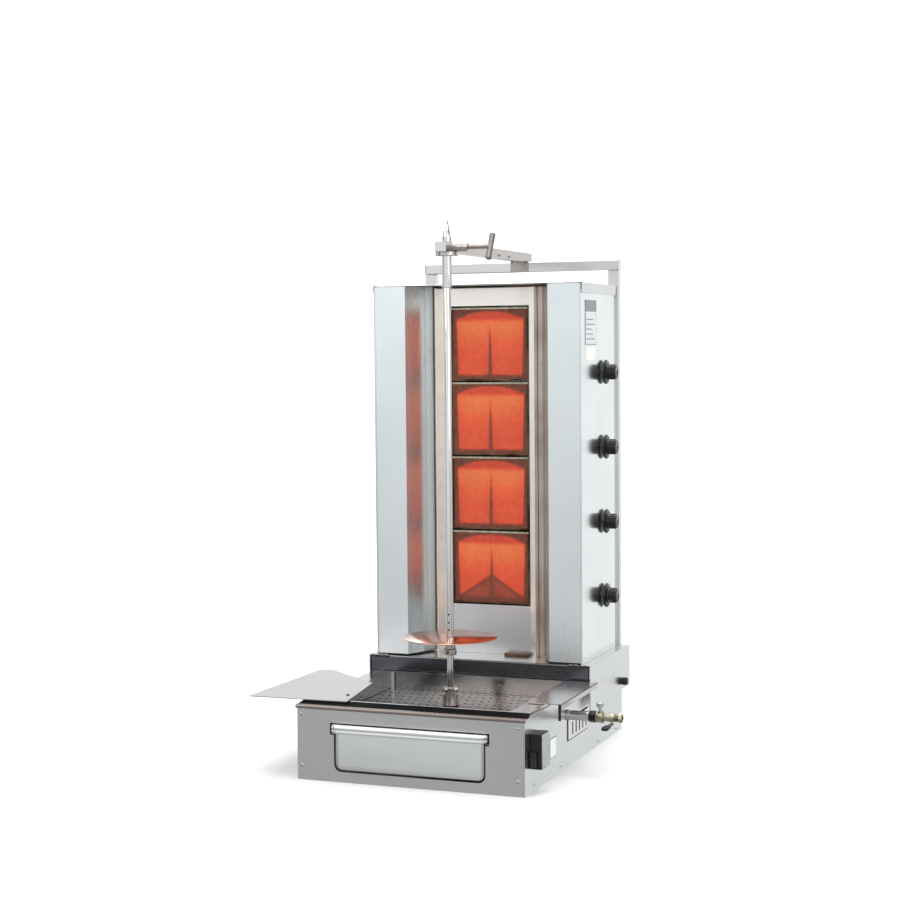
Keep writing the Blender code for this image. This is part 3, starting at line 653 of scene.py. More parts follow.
def top_fittings():
    """The guide sleeve, the T-handled screw, the flange's rings and the arm's end caps."""
    low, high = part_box("guide_sleeve")
    x, y, _ = (low + high) / 2
    r = (high.x - low.x) / 2
    bore = r - 0.0012
    profile = [(bore, low.z), (r - 0.0008, low.z), (r, low.z + 0.0008), (r, high.z - 0.0012)]
    profile += [(r - 0.0012, high.z), (bore + 0.0006, high.z), (bore, high.z - 0.0006)]
    turned("guide_sleeve_polished", profile, (x, y, 0), "bright", body="sleeve", slot="polished",
           replaces=["guide_sleeve"])  # fmt: skip
    t_screw()
    arm_low, arm_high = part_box("top_arm")
    rail_low, rail_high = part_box("frame_top_rail")
    z0, z1 = rail_high.z + 0.0003, rail_high.z + 0.0223
    bm = bmesh.new()
    add_box(bm, (-0.0125, arm_high.y - 0.0002, z0 + 0.0006), (0.0125, arm_high.y + 0.0022, z1 - 0.0006))
    add_box(bm, (-0.0125, arm_low.y - 0.0006, z0 + 0.0006), (0.0125, arm_low.y + 0.0002, z1 - 0.0006))
    piece("arm_end_caps", bm, "tube", slot="steel", bevel=0.001)
    bm = bmesh.new()
    half, arm_half, saddle_front = 0.022, 0.0135, rail_low.y - 0.0045
    add_box(bm, (-half, saddle_front, rail_low.z + 0.002), (half, rail_low.y - 0.0002, rail_high.z + 0.001))
    for start, end in ((-half, -arm_half), (arm_half, half)):
        low_corner = (start, saddle_front, rail_high.z - 0.0028)
        add_box(bm, low_corner, (end, rail_high.y, rail_high.z + 0.0022))
    piece("arm_saddle", bm, "boss", slot="steel", bevel=0.0008)
    bm = bmesh.new()
    for side in (-1, 1):
        ends = (side * (rail_high.x - 0.0002), side * (rail_high.x + 0.0018))
        add_box(bm, (ends[0], rail_low.y, rail_low.z), (ends[1], rail_high.y, rail_high.z))
    piece("rail_end_caps", bm, "tube", slot="steel", bevel=0.0008)
    heads = [((0.0131, yy, z0 + 0.0075), "X", 1) for yy in (0.19, 0.262)]
    screws("arm_screws", heads, 0.0042, "boss", slot="steel")
    rings = bmesh.new()
    for height in (1.115, 1.118):
        add_turned(rings, [(0.0248, -0.0006), (0.0254, -0.0004), (0.0254, 0.0004), (0.0248, 0.0006)],
                   (x, y, height), "Z", 64)  # fmt: skip
    piece("flange_beads", rings, "bright", slot="steel")


def t_screw():
    """The clamp screw: a threaded shank and a rounded bar through its end, on the screw's own axis."""
    joint = JOINTS["sleeve_clamp_turn"]
    _, y, z = joint["pos_m"]
    low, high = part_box("clamp_screw")
    handle_r = 0.007
    handle_x = high.x - handle_r
    bm = bmesh.new()
    profile = [(0, low.x), (0.005, low.x)]
    for n in range(9):
        start = 0.0505 + 0.0016 * n
        profile += [(0.005, start), (0.0053, start + 0.0004)]
        profile += [(0.0053, start + 0.0008), (0.005, start + 0.0012)]
    profile += [(0.005, 0.066), (0.0053, 0.0664), (0.0053, handle_x - 0.0045), (0.0062, handle_x - 0.0035)]
    add_turned(bm, [*profile, (0.0062, handle_x), (0, handle_x)], (0, y, z), "X", 40)
    half = 0.032
    bar = [(0, -half), (0.0034, -half), (0.0058, 0.0008 - half), (0.007, 0.003 - half), (0.0067, 0.01 - half)]
    bar += [(0.0064, 0), (0.0067, half - 0.01), (0.007, half - 0.003), (0.0058, half - 0.0008)]
    verts = add_turned(bm, [*bar, (0.0034, half), (0, half)], (0, 0, 0), "Z", 40)
    turn = Matrix.Translation((handle_x, y, z)) @ Matrix.Rotation(-radians(28), 4, "X")
    bmesh.ops.transform(bm, matrix=turn, verts=verts)
    piece("t_handled_screw", bm, "boss", body="sleeve_clamp", slot="steel", replaces=["clamp_screw"])


# ---------------------------------------------------------------- fasteners and labels


def screws(name, heads, radius, material, body="body", slot="steel", style="pan"):
    """Screw heads with a cross recess drawn as dark bars of painted shade. Each head is (centre, axis letter,
    +1 or -1 for the way it faces).
    """
    bm = bmesh.new()
    height = radius * 0.55
    shapes = {
        "pan": ((1, 0.35), (0.86, 0.75), (0.5, 1), (0, 1)),
        "hex": ((1, 1.2), (0.9, 1.4), (0.5, 1.4), (0, 1.4)),
    }
    profile = [(0, -0.0002), (radius, -0.0002), *((radius * r, height * h) for r, h in shapes[style])]
    for centre, axis, way in heads:
        flats = 6 if style == "hex" else 0
        add_turned(bm, [(r, way * h) for r, h in profile], centre, axis, 24, flats=flats)
        if style == "pan":
            for long_axis in sorted({*"XYZ"} - {axis}):
                add_recess(bm, Vector(centre), axis, way, long_axis, radius, height)
    piece(name, bm, [material, "void"], body=body, slot=slot)


def add_recess(bm, centre, axis, way, long_axis, radius, height):
    """Adds one dark bar of a screw head's cross recess: painted shade standing for the recess's depth."""
    low, high = centre.copy(), centre.copy()
    for i, letter in enumerate("XYZ"):
        if letter == axis:
            low[i], high[i] = centre[i] + way * height * 0.8, centre[i] + way * (height + 0.0001)
        else:
            reach = radius * (0.55 if letter == long_axis else 0.11)
            low[i], high[i] = centre[i] - reach, centre[i] + reach
    add_box(bm, low, high, 1)


def all_screws():
    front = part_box("front_panel")[0].y
    corners = [((x, front, z), "Y", -1) for x in (-0.245, 0.2405) for z in (0.0305, 0.14)]
    screws("front_panel_screws", corners, 0.0038, "bright")
    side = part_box("base_right_side")[1].x
    places = [(0.163, 0.012), (0.313, 0.011), (-0.3, 0.014), (-0.12, 0.014)]
    screws("right_side_screws", [((side, y, z), "X", 1) for y, z in places], 0.0036, "bright")
    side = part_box("base_left_side")[0].x
    heads = [((side, y, 0.014), "X", -1) for y in (-0.3, -0.1, 0.1, 0.3)]
    screws("left_side_screws", heads, 0.0036, "bright")
    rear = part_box("base_rear_panel")[1].y
    heads = [((x, rear, 0.03), "Y", 1) for x in (-0.2, -0.07, 0.07, 0.2)]
    screws("base_rear_screws", heads, 0.0036, "bright")
    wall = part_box("column_rear_panel")[1].y
    heads = [((x, wall, z), "Y", 1) for x in (-0.235, 0.235) for z in (0.23, 0.43, 0.63, 0.83, 1.01)]
    screws("column_rear_screws", heads, 0.0036, "bright")
    for name, way in (("left", -1), ("right", 1)):
        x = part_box(f"column_{name}_side")[way > 0].x
        rim = [((x, y, 0.214), "X", way) for y in (0.085, 0.31)]
        screws(f"column_{name}_screws", rim, 0.0034, "bright")
        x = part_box(f"pedestal_{name}_cheek")[way > 0].x
        screws(f"cheek_{name}_screws", [((x, 0.1, 0.15), "X", way)], 0.0034, "bright")
    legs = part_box("left_frame_leg")[1].y
    heads = [((side * 0.2335, legs, z), "Y", 1) for side in (-1, 1) for z in (0.075, 0.115)]
    screws("frame_bolts", heads, 0.0062, "dull", style="hex")
    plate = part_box("left_side_plate")[1].z
    screws("left_plate_screw", [((-0.178, -0.268, plate), "Z", 1)], 0.004, "dark", body="left_plate")


def plate_edges():
    """A black strip along the right plate's outer edge, painted shade under its folded-down edge, and the
    black stop strip on its front end.
    """
    low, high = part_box("right_side_plate")
    bm = bmesh.new()
    # Painted shade: a black strip where the plate's folded-down outer edge lies in shadow.
    add_box(bm, (high.x - 0.0003, low.y, high.z - 0.0011), (high.x + 0.0011, high.y, high.z + 0.0007))
    strip_low = (high.x - 0.0065, low.y - 0.0018, high.z - 0.035)
    add_box(bm, strip_low, (high.x - 0.0005, low.y - 0.0004, high.z + 0.0002))
    piece("right_plate_shade_edge_and_stop", bm, "seal", body="right_plate", slot="black", bevel=0.0004)


def label(name, low, high, faces, rim="header"):
    """A blank plate on a +X face, with plain bands. faces are (from, to, material) up its height."""
    bm = bmesh.new()
    add_box(bm, low, high, 0)
    margin, x = 0.0018, high[0] + 0.00012
    height = high[2] - low[2]
    for start, end, index in faces:
        band = (low[2] + start * height, low[2] + end * height)
        add_box(bm, (low[0], low[1] + margin, band[0]), (x, high[1] - margin, band[1]), index)
    piece(name, bm, [rim, "label", "white"], slot="dull_steel", bevel=0.0002)


def labels():
    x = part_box("column_right_side")[1].x
    label("rating_plate", (x + 0.0001, 0.101, 0.918), (x + 0.0009, 0.187, 1.019), [(0.02, 0.74, 1)])
    corners = (x + 0.0001, 0.107, 0.884), (x + 0.0005, 0.177, 0.913)
    label("blank_sticker", *corners, [(0.06, 0.94, 2)], rim="sticker")
    fields = bmesh.new()
    for n in range(5):
        z = 0.93 + 0.011 * n
        add_box(fields, (x + 0.0009, 0.108, z), (x + 0.00116, 0.172 - 0.012 * (n % 3), z + 0.0026))
    piece("rating_plate_fields", fields, "header", slot="dull_steel")
    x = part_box("base_right_side")[1].x
    label("switch_label", (x + 0.0001, -0.196, 0.043), (x + 0.0006, -0.15, 0.086), [(0.04, 0.96, 2)])


# ---------------------------------------------------------------- base


def drawer_pan():
    """The pan at full smoothness: a rim rolled in two steps, rounded corners and a crisp floor."""
    low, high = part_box("drawer_pan")
    lip, wall, rim = 0.009, 0.0012, 0.018

    def level(inset, radius, z):
        return (low.x + inset, low.y + inset, high.x - inset, high.y - inset, radius, z)

    under, top = high.z - rim, high.z
    levels = []
    bend = 0.015
    for angle in range(0, 91, 15):
        a = radians(angle)
        levels.append(level(lip + 0.013 * (1 - sin(a)), 0.01 + 0.003 * sin(a), low.z + bend * (1 - cos(a))))
    levels += [level(lip, 0.013, under), level(0.0065, 0.0145, under)]
    for inset, z in ((0.0022, 0.0004), (0.0006, 0.002), (0.0002, 0.004), (0.0012, 0.0066), (0.0012, 0.008),
                     (0.0004, 0.01), (0.0002, 0.013), (0.0008, 0.0155), (0.0026, 0.0176)):  # fmt: skip
        levels.append(level(inset, 0.02 - inset, under + z))
    levels += [level(0.005, 0.016, top), level(lip + wall - 0.0012, 0.0125, top)]
    levels += [level(lip + wall, 0.012, top - 0.0012)]
    for angle in range(90, -1, -15):
        a = radians(angle)
        inset = lip + wall + 0.013 * (1 - sin(a))
        levels.append(level(inset, 0.009 + 0.003 * sin(a), low.z + wall + bend * (1 - cos(a))))
    bm = bmesh.new()
    add_rings(bm, levels)
    piece("drawer_pan_pressed", bm, "pan", body="drawer", slot="polished", replaces=["drawer_pan"], smooth=40)


def tray_floor():
    """A perforated plate over the tray's floor. Its holes are staggered, and open onto a black sheet, painted
    shade for the gap below them.
    """
    x0, x1, y0, y1 = -0.2055, 0.2055, -0.3095, 0.0445
    columns, rows = 24, 10
    hole, blank_within, thickness = 0.0034, 0.027, 0.0009
    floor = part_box("drip_tray")[0].z + 0.0015
    spit = JOINTS["spit_spin"]["pos_m"]
    # A black sheet under the holes: painted shade for the dark gap beneath the plate.
    bm = bmesh.new()
    add_box(bm, (x0, y0, floor + 0.0001), (x1, y1, floor + 0.0003))
    piece("tray_hole_painted_shade", bm, "void", slot="dark_steel")
    dx, dy = (x1 - x0) / columns, (y1 - y0) / rows
    bm = bmesh.new()
    for row in range(rows):
        shift = 0.25 if row % 2 else -0.25
        for column in range(columns):
            cell = (x0 + column * dx, y0 + row * dy, x0 + (column + 1) * dx, y0 + (row + 1) * dy)
            centre = ((cell[0] + cell[2]) / 2 + shift * dx, (cell[1] + cell[3]) / 2)
            near_spit = hypot(centre[0] - spit[0], centre[1] - spit[1]) < blank_within
            if near_spit:
                blank_cell(bm, cell, floor + 0.0014, spit)
            else:
                perforated_cell(bm, cell, centre, hole, floor + 0.0014)
    bmesh.ops.remove_doubles(bm, verts=bm.verts, dist=1e-5)
    edges = [edge for edge in bm.edges if edge.is_boundary]
    walls = bmesh.ops.extrude_edge_only(bm, edges=edges)["geom"]
    moved = [v for v in walls if isinstance(v, bmesh.types.BMVert)]
    bmesh.ops.translate(bm, verts=moved, vec=(0, 0, -thickness))
    piece("perforated_plate", bm, "tray_floor", slot="polished", smooth=20)


def corners_of(bm, cell, z):
    x0, y0, x1, y1 = cell
    return [bm.verts.new((x, y, z)) for x, y in ((x1, y1), (x0, y1), (x0, y0), (x1, y0))]


def blank_cell(bm, cell, z, spit):
    """One square of plain plate, left open where the drive cup stands."""
    cup_radius = 0.016
    if hypot((cell[0] + cell[2]) / 2 - spit[0], (cell[1] + cell[3]) / 2 - spit[1]) > cup_radius:
        bm.faces.new(corners_of(bm, cell, z))


def perforated_cell(bm, cell, centre, radius, z):
    """One square of plate with a round hole."""
    ring = [bm.verts.new((*point, z)) for point in arc(centre, radius, 0, 337.5, 15)]
    outer = corners_of(bm, cell, z)
    for quarter in range(4):
        start = 2 + 4 * quarter
        arc_verts = [ring[(start + k) % 16] for k in range(5)]
        after = outer[(quarter + 1) % 4]
        bm.faces.new([outer[quarter], after, *arc_verts[::-1]])


def ledge():
    """The front strip: a dull black slope, with a steel nose rolled over the front panel."""
    low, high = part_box("front_ledge")
    front, back = low.y, high.y
    bm = bmesh.new()
    slope = [(front + 0.0065, 0.1612), (back - 0.0008, high.z)]
    slope += [(back, high.z - 0.0006), (back, high.z - 0.002)]
    add_prism(bm, [*slope, (front + 0.0065, 0.1592)], low.x + 0.002, high.x - 0.002, "X", 0)
    centre, radius = (front + 0.004, 0.1572), 0.004
    nose = arc(centre, radius, 80, 180, 8) + [(front, low.z + 0.001), (front + 0.001, low.z)]
    nose += [(front + 0.0032, low.z), (front + 0.0037, low.z + 0.0008)]
    nose += [(front + 0.0037, 0.1582), (front + 0.0085, 0.159)]
    add_prism(bm, [*nose, (front + 0.0085, 0.1614)], low.x, high.x, "X", 1)
    piece(
        "front_ledge_strip", bm, ["ledge", "nose"],
        slot="dark_steel", replaces=["front_ledge"], bevel=0.0003,
    )  # fmt: skip


def vents():
    """A bright frame of bars over the slots in the right side, on a black plate that is painted shade seen
    through the slots, and louvres on the column's rear, with a dark strip of painted shade under each hood.
    """
    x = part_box("base_right_side")[1].x
    front, back, low, high = -0.072, 0.08, 0.056, 0.106
    bm = bmesh.new()
    # A black plate behind the bars: painted shade seen through the slots.
    add_box(bm, (x + 0.0001, front, low), (x + 0.0005, back, high), 1)
    for z in ((low + 0.003, 0.066), (0.094, high - 0.003)):
        add_box(bm, (x + 0.0005, front + 0.003, z[0]), (x + 0.0021, back - 0.003, z[1]))
    slots = [-0.042 + 0.025 * k + side for k in range(5) for side in (0, 0.008)]
    edges = [front + 0.003, *slots, back - 0.003]
    for start, end in zip(edges[::2], edges[1::2]):
        add_box(bm, (x + 0.0005, start, 0.0658), (x + 0.0021, end, 0.0942))
    piece("vent_frame", bm, ["bright", "seal"], slot="steel", bevel=0.0003)
    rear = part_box("column_rear_panel")[1].y
    hoods, gaps = bmesh.new(), bmesh.new()
    for row in range(3):
        for k in range(8):
            x0, z = -0.175 + 0.045 * k, 0.32 + 0.26 * row
            hood = [(rear, z), (rear + 0.0045, z + 0.005), (rear + 0.0045, z + 0.0062), (rear, z + 0.011)]
            add_prism(hoods, hood, x0, x0 + 0.034, "X")
            # A dark strip under each hood: painted shade in the louvre's opening.
            add_box(gaps, (x0 + 0.001, rear + 0.0001, z - 0.0016), (x0 + 0.033, rear + 0.0006, z + 0.0006))
    piece("rear_louvres", hoods, "side", slot="steel", bevel=0.0004)
    piece("rear_louvre_painted_shade", gaps, "void", slot="dark_steel")


def switch():
    """The motor switch: a black box with a grey lid, and a ridged rocker in a bezel on its front."""
    low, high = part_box("motor_switch_box")
    bm = bmesh.new()
    add_box(bm, low, (high.x - 0.0035, high.y, high.z), 0)
    inset = Vector((0, 0.0012, 0.0012))
    add_box(bm, Vector((high.x - 0.0033, low.y, low.z)) + inset, high - inset, 1)
    r_low, r_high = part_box("motor_switch_rocker")
    rim = 0.0022
    for x in ((r_low.x - rim - 0.0006, r_low.x - 0.0006), (r_high.x + 0.0006, r_high.x + 0.0006 + rim)):
        add_box(bm, (x[0], low.y - 0.0022, r_low.z - rim), (x[1], low.y + 0.001, r_high.z + rim), 0)
    for z in ((r_low.z - rim - 0.0006, r_low.z - 0.0008), (r_high.z + 0.0008, r_high.z + 0.0006 + rim)):
        add_box(bm, (r_low.x - rim, low.y - 0.0022, z[0]), (r_high.x + rim, low.y + 0.001, z[1]), 0)
    piece("switch_housing", bm, ["black", "grey"], slot="black", replaces=["motor_switch_box"], bevel=0.0012)
    places = [(y, z) for y in (low.y + 0.006, high.y - 0.006) for z in (low.z + 0.007, high.z - 0.007)]
    heads = [((high.x, y, z), "X", 1) for y, z in places]
    screws("switch_lid_screws", heads, 0.0022, "bright")
    bm = bmesh.new()
    middle = (r_low.z + r_high.z) / 2
    side = [(r_high.y, r_low.z + 0.001), (r_high.y, r_high.z - 0.001)]
    side += [(r_low.y, r_high.z), (r_low.y + 0.0022, middle + 0.002), (r_low.y + 0.0022, middle - 0.002)]
    add_prism(bm, [*side, (r_low.y, r_low.z)], r_low.x, r_high.x, "X")
    for way in (-1, 1):
        for n in range(4):
            z = middle + way * (0.007 + 0.002 * n)
            y = r_low.y + 0.0022 * (1 - (abs(z - middle) - 0.002) / (r_high.z - middle - 0.002)) - 0.0003
            ridge_low = (r_low.x + 0.002, max(y, r_low.y - 0.0001), z - 0.0004)
            add_box(bm, ridge_low, (r_high.x - 0.002, y + 0.001, z + 0.0004))
    piece("switch_rocker", bm, "rocker", body="switch_rocker", slot="black", replaces=["motor_switch_rocker"],
          bevel=0.0003)  # fmt: skip


def gas_fittings():
    """The inlet pipe and nut, the cock with its hexes and thread, the test nipple and the lever."""
    low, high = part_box("gas_inlet")
    y, z = JOINTS["gas_cock_turn"]["pos_m"][1], (low.z + high.z) / 2
    centre = (0, y, z)
    nut = 0.305
    bm = bmesh.new()
    pipe = [(0.006, low.x), (0.0105, low.x), (0.0105, 0.2552), (0.0118, 0.2556), (0.0118, 0.26)]
    pipe += [(0.0105, 0.2606), (0.0105, 0.289), (0.0112, 0.2896), (0.0112, nut), (0.006, nut)]
    add_turned(bm, pipe, centre, "X", 48, 0)
    hexagon = [(0, nut), (0.0118, nut), (0.013, nut + 0.001)]
    hexagon += [(0.013, high.x - 0.001), (0.0118, high.x), (0, high.x)]
    add_turned(bm, hexagon, centre, "X", flats=6, material=1)
    piece("gas_inlet_pipe", bm, ["base_side", "black"], slot="steel", replaces=["gas_inlet"])
    cock_low, cock_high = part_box("gas_cock")
    x0, x1 = cock_low.x, cock_high.x
    bm = bmesh.new()
    add_turned(bm, [(0, x0), (0.012, x0), (0.013, x0 + 0.001), (0.013, x0 + 0.006), (0.012, x0 + 0.007),
                    (0, x0 + 0.007)], centre, "X", flats=6, material=0)  # fmt: skip
    add_turned(bm, [(0, x0 + 0.0072), (0.011, x0 + 0.0072), (0.011, x0 + 0.0095), (0.0128, x0 + 0.0105),
                    (0.0128, x0 + 0.016), (0.0112, x0 + 0.0172), (0.0086, x0 + 0.019), (0.0082, x1 - 0.017),
                    (0, x1 - 0.017)], centre, "X", 48)  # fmt: skip
    thread = []
    for n in range(6):
        start = x1 - 0.0168 + 0.0013 * n
        thread += [(0.0074, start), (0.0084, start + 0.0005), (0.0084, start + 0.0008)]
    thread = [(0, x1 - 0.017), *thread, (0.0074, x1 - 0.0086), (0, x1 - 0.0086)]
    add_turned(bm, thread, centre, "X", 40)
    add_turned(bm, [(0, x1 - 0.0084), (0.0094, x1 - 0.0084), (0.0104, x1 - 0.0076), (0.0104, x1 - 0.001),
                    (0.0094, x1), (0.006, x1), (0.006, x1 - 0.004), (0, x1 - 0.004)],
               centre, "X", flats=8)  # fmt: skip
    stem = JOINTS["gas_cock_turn"]["pos_m"][0]
    add_turned(bm, [(0, -0.009), (0.005, -0.009), (0.006, -0.008), (0.006, -0.004), (0, -0.004)],
               (stem, y, z), "Z", 32)  # fmt: skip
    nipple = (0.329, y, z)
    neck = [(0, 0.011), (0.0052, 0.011), (0.0052, 0.015), (0.0036, 0.0158), (0.0036, 0.0222), (0, 0.0222)]
    add_turned(bm, neck, nipple, "Z", 24, 1)
    cap = [(0, 0.0222), (0.007, 0.0222), (0.008, 0.0232), (0.008, 0.0305), (0.0066, 0.032), (0, 0.032)]
    add_turned(bm, cap, nipple, "Z", 24, 1)
    piece("gas_cock_fitting", bm, ["brass", "base_side"], slot="brass", replaces=["gas_cock"])
    gas_lever(stem, y, z)


def gas_lever(x, y, z):
    """A steel strap on the stem, with a thicker sleeve on its free end."""
    low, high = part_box("gas_cock_lever")
    bm = bmesh.new()
    strap = arc((x, y), 0.006, 0, 180, 12) + arc((x, low.y + 0.02), 0.0042, 180, 360, 8)
    add_prism(bm, strap, low.z + 0.002, low.z + 0.0042, "Z", 1)
    grip = arc((x, low.y + 0.0075), 0.0075, 180, 360, 12)
    grip += [(x + 0.0066, low.y + 0.034), (x - 0.0066, low.y + 0.034)]
    add_prism(bm, grip, low.z, high.z, "Z", 0)
    nut = [(0, 0.0042), (0.0044, 0.0042), (0.0044, 0.006), (0, 0.006)]
    add_turned(bm, nut, (x, y, low.z), "Z", flats=6, material=1)
    piece(
        "gas_lever", bm, ["black", "boss"],
        body="cock_lever", slot="black", replaces=["gas_cock_lever"], bevel=0.001,
    )  # fmt: skip


def knobs():
    """Each knob: a flanged and ribbed moulding with a white pointer, and a collar on the panel."""
    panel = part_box("column_right_side")[1].x
    for k in range(1, BURNER_COUNT + 1):
        low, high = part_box(f"burner_knob_{k}")
        _, y, z = (low + high) / 2
        x, length = low.x, high.x - low.x
        flange = [(0.0044, 0.0002), (0.0255, 0), (0.0274, 0.0006), (0.028, 0.0018), (0.028, 0.0034)]
        flange += [(0.027, 0.005), (0.024, 0.006), (0.019, 0.0066), (0.0176, 0.0078), (0.0172, 0.011)]
        grip = [(0.0166, length - 0.004), (0.0158, length - 0.0014), (0.0142, length), (0.009, length)]
        grip += [(0.0084, length - 0.0006), (0, length - 0.0006)]
        socket = [(0, 0.014), (0.0044, 0.014)]
        bm = bmesh.new()
        add_turned(bm, flange + grip + socket, (x, y, z), "X", 72)
        ribs = ((x + 0.01, -0.0007, 0.0158), (x + length - 0.0034, 0.0007, 0.0176))
        add_ribs(bm, 18, *ribs, y, z)
        end = x + length
        add_box(bm, (end - 0.0016, y - 0.0008, z + 0.003), (end + 0.0001, y + 0.0008, z + 0.014), 1)
        add_box(bm, (x + 0.0052, y - 0.0008, z + 0.0205), (x + 0.0064, y + 0.0008, z + 0.0262), 1)
        piece(f"knob_{k}_moulded", bm, ["black", "white"], body=f"knob_{k}", slot="black",
              replaces=[f"burner_knob_{k}"])  # fmt: skip
        collar = [(0.0048, -0.0002), (0.0105, -0.0002), (0.0105, 0.0003), (0.0095, 0.0006), (0.0048, 0.0006)]
        turned(f"knob_collar_{k}", collar, (panel, y, z), "bright", "X", slot="steel")


# ---------------------------------------------------------------- column and pedestal


def top_cap():
    """The column's lid: a crowned top, with side lips whose lower corners are rounded."""
    low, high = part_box("top_cap")
    wall, corner = 0.0015, 0.009
    lip = arc((low.y + corner, low.z + corner), corner, 180, 270, 8) + arc(
        (high.y - corner, low.z + corner), corner, 270, 360, 8
    )
    outline = [*lip, (high.y, high.z - 0.0004), (low.y, high.z - 0.0004)]
    bm = bmesh.new()
    for x in ((low.x, low.x + wall), (high.x - wall, high.x)):
        add_prism(bm, outline, x[0], x[1], "X")
    add_box(bm, (low.x, low.y, high.z - wall), (high.x, high.y, high.z))
    add_box(bm, (low.x + wall, high.y - wall, low.z), (high.x - wall, high.y, high.z - wall))
    piece("column_lid", bm, "base_side", slot="steel", replaces=["top_cap"], bevel=0.0007)


def wing_details():
    """The wings' folded top and bottom hems, their foot clips and the catch at each top corner."""
    for side, name in ((-1, "left"), (1, "right")):
        low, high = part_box(f"{name}_wing")
        outer, inner, front = side * 0.244, side * 0.1725, 0.0632
        bm = bmesh.new()
        for z in (low.z + 0.004, high.z - 0.0012):
            add_box(bm, (outer, front, z - 0.0003), (inner, front + 0.0055, z + 0.0009))
        piece(f"{name}_wing_hems", bm, "wing", body=f"{name}_wing_guard", slot="steel", bevel=0.0003)
        bm = bmesh.new()
        x = side * 0.2475
        add_turned(bm, [(0, high.z), (0.003, high.z), (0.0034, high.z + 0.0008), (0.0034, high.z + 0.002),
                        (0, high.z + 0.0024)], (x, 0.0616, 0), "Z", 24)  # fmt: skip
        add_box(bm, (side * 0.244, 0.0604, high.z + 0.0003), (side * 0.25, 0.066, high.z + 0.0018))
        add_box(bm, (side * 0.2492, 0.0604, high.z - 0.014), (side * 0.2504, 0.066, high.z + 0.0018))
        piece(f"{name}_wing_pin_head", bm, "seal", body=f"{name}_wing_guard", slot="black")
        foot_clip(side, name)


def foot_clip(side, name):
    """The bracket under a wing's outer corner: a strap, two tabs and a pin boss."""
    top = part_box("pedestal_top")[1].z
    bm = bmesh.new()
    x0, x1 = side * 0.218, side * 0.256
    add_box(bm, (x0, 0.054, top + 0.0002), (x1, 0.066, top + 0.0012), 1)
    add_box(bm, (x0, 0.0535, top - 0.005), (x1, 0.0552, top + 0.0006), 0)
    add_box(bm, (side * 0.22, 0.0552, top - 0.0042), (side * 0.229, 0.0566, top + 0.003), 1)
    add_box(bm, (side * 0.233, 0.0552, top - 0.0042), (side * 0.241, 0.0566, top + 0.003), 1)
    piece(f"{name}_foot_clip", bm, ["seal", "boss"], slot="black", bevel=0.0004)


def pedestal_details():
    """Dark seams at the pedestal's front corners, its rolled top edge, the clamp knob and the burner foot."""
    top_low, top_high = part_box("pedestal_top")
    for side, name in ((-1, "left"), (1, "right")):
        cheek_low, cheek_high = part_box(f"pedestal_{name}_cheek")
        inner = side * (min(abs(cheek_low.x), abs(cheek_high.x)) - 0.0002)
        bm = bmesh.new()
        add_box(bm, (inner, 0.056, 0.164), (inner - side * 0.003, 0.0578, top_high.z - 0.001))
        add_box(bm, (inner, 0.056, top_high.z - 0.003), (inner - side * 0.03, 0.0572, top_high.z + 0.0004))
        piece(f"{name}_corner_seal", bm, "seal", slot="black", bevel=0.0003)
    joint = JOINTS["clamp_knob_turn"]["pos_m"]
    r = 0.0085
    bm = bmesh.new()
    add_turned(bm, [(0, -0.013), (0.0038, -0.013), (0.0038, 0.0004), (r - 0.001, 0.0004), (r, 0.0014),
                    (r, 0.0124), (r - 0.0014, 0.0144), (r - 0.004, 0.0148), (0, 0.0148)],
               joint, "X", 48)  # fmt: skip
    ribs = ((joint[0] + 0.002, -0.0006, r - 0.0006), (joint[0] + 0.0118, 0.0006, r + 0.0004))
    add_ribs(bm, 14, *ribs, joint[1], joint[2])
    piece("clamp_knob_ribbed", bm, "seal", body="clamp_knob", slot="black", replaces=["pedestal_clamp_knob"])
    bm = bmesh.new()
    add_box(bm, (0.04, 0.129, top_high.z + 0.0003), (0.098, 0.15, top_high.z + 0.0072))
    add_box(bm, (0.044, 0.1282, top_high.z + 0.0018), (0.094, 0.1292, top_high.z + 0.0056))
    piece("burner_foot", bm, "brown", slot="burner", bevel=0.0008)
    bm = bmesh.new()
    add_box(bm, (-0.262, 0.0545, top_high.z + 0.0001), (0.262, 0.06, top_high.z + 0.001))
    piece("pedestal_edge", bm, "dark", slot="steel", bevel=0.0004)


def column_liners():
    """Sheets inside the column that close the gaps between trims and wings, clear of the wings' swing."""
    inner, outer, front = 0.1212, 0.162, 0.144
    low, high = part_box("left_trim")
    for side, name in ((-1, "left"), (1, "right")):
        bm = bmesh.new()
        add_box(bm, (side * inner, front, low.z), (side * outer, front + 0.0012, high.z))
        piece(f"{name}_column_liner", bm, "liner", slot="steel", bevel=0.0003)


def column_details():
    """Dark strips of painted shadow beside the burners and under the lid's front edge."""
    low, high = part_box("upper_front_plate")
    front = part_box("left_trim")[1].y
    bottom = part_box("burner_1")[0].z
    bm = bmesh.new()
    # Painted shadow: dark strips down each side of the burners, where shadow falls beside them.
    for side in (-1, 1):
        add_box(bm, (side * 0.0938, front + 0.0006, bottom - 0.001), (side * 0.0986, front + 0.002, low.z))
        add_box(bm, (side * 0.0945, front + 0.0022, low.z), (side * 0.0986, front + 0.004, high.z))
    # Painted shadow under the lid's front edge.
    add_box(bm, (-0.118, front - 0.006, high.z + 0.0008), (0.118, front + 0.01, high.z + 0.0028))
    piece("column_painted_shadow_strips", bm, "oxide", slot="burner", bevel=0.0002)
    bm = bmesh.new()
    rivet = [(0, 0), (0.0028, 0), (0.0024, -0.0009), (0, -0.0012)]
    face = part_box("left_trim")[0].y + 0.0305
    for x in (-0.1088, 0.1088):
        for z in (0.235, 0.64, 1.04):
            add_turned(bm, rivet, (x, face, z), "Y", 20)
    piece("trim_rivets", bm, "trim", slot="bright_trim")


# ---------------------------------------------------------------- studio


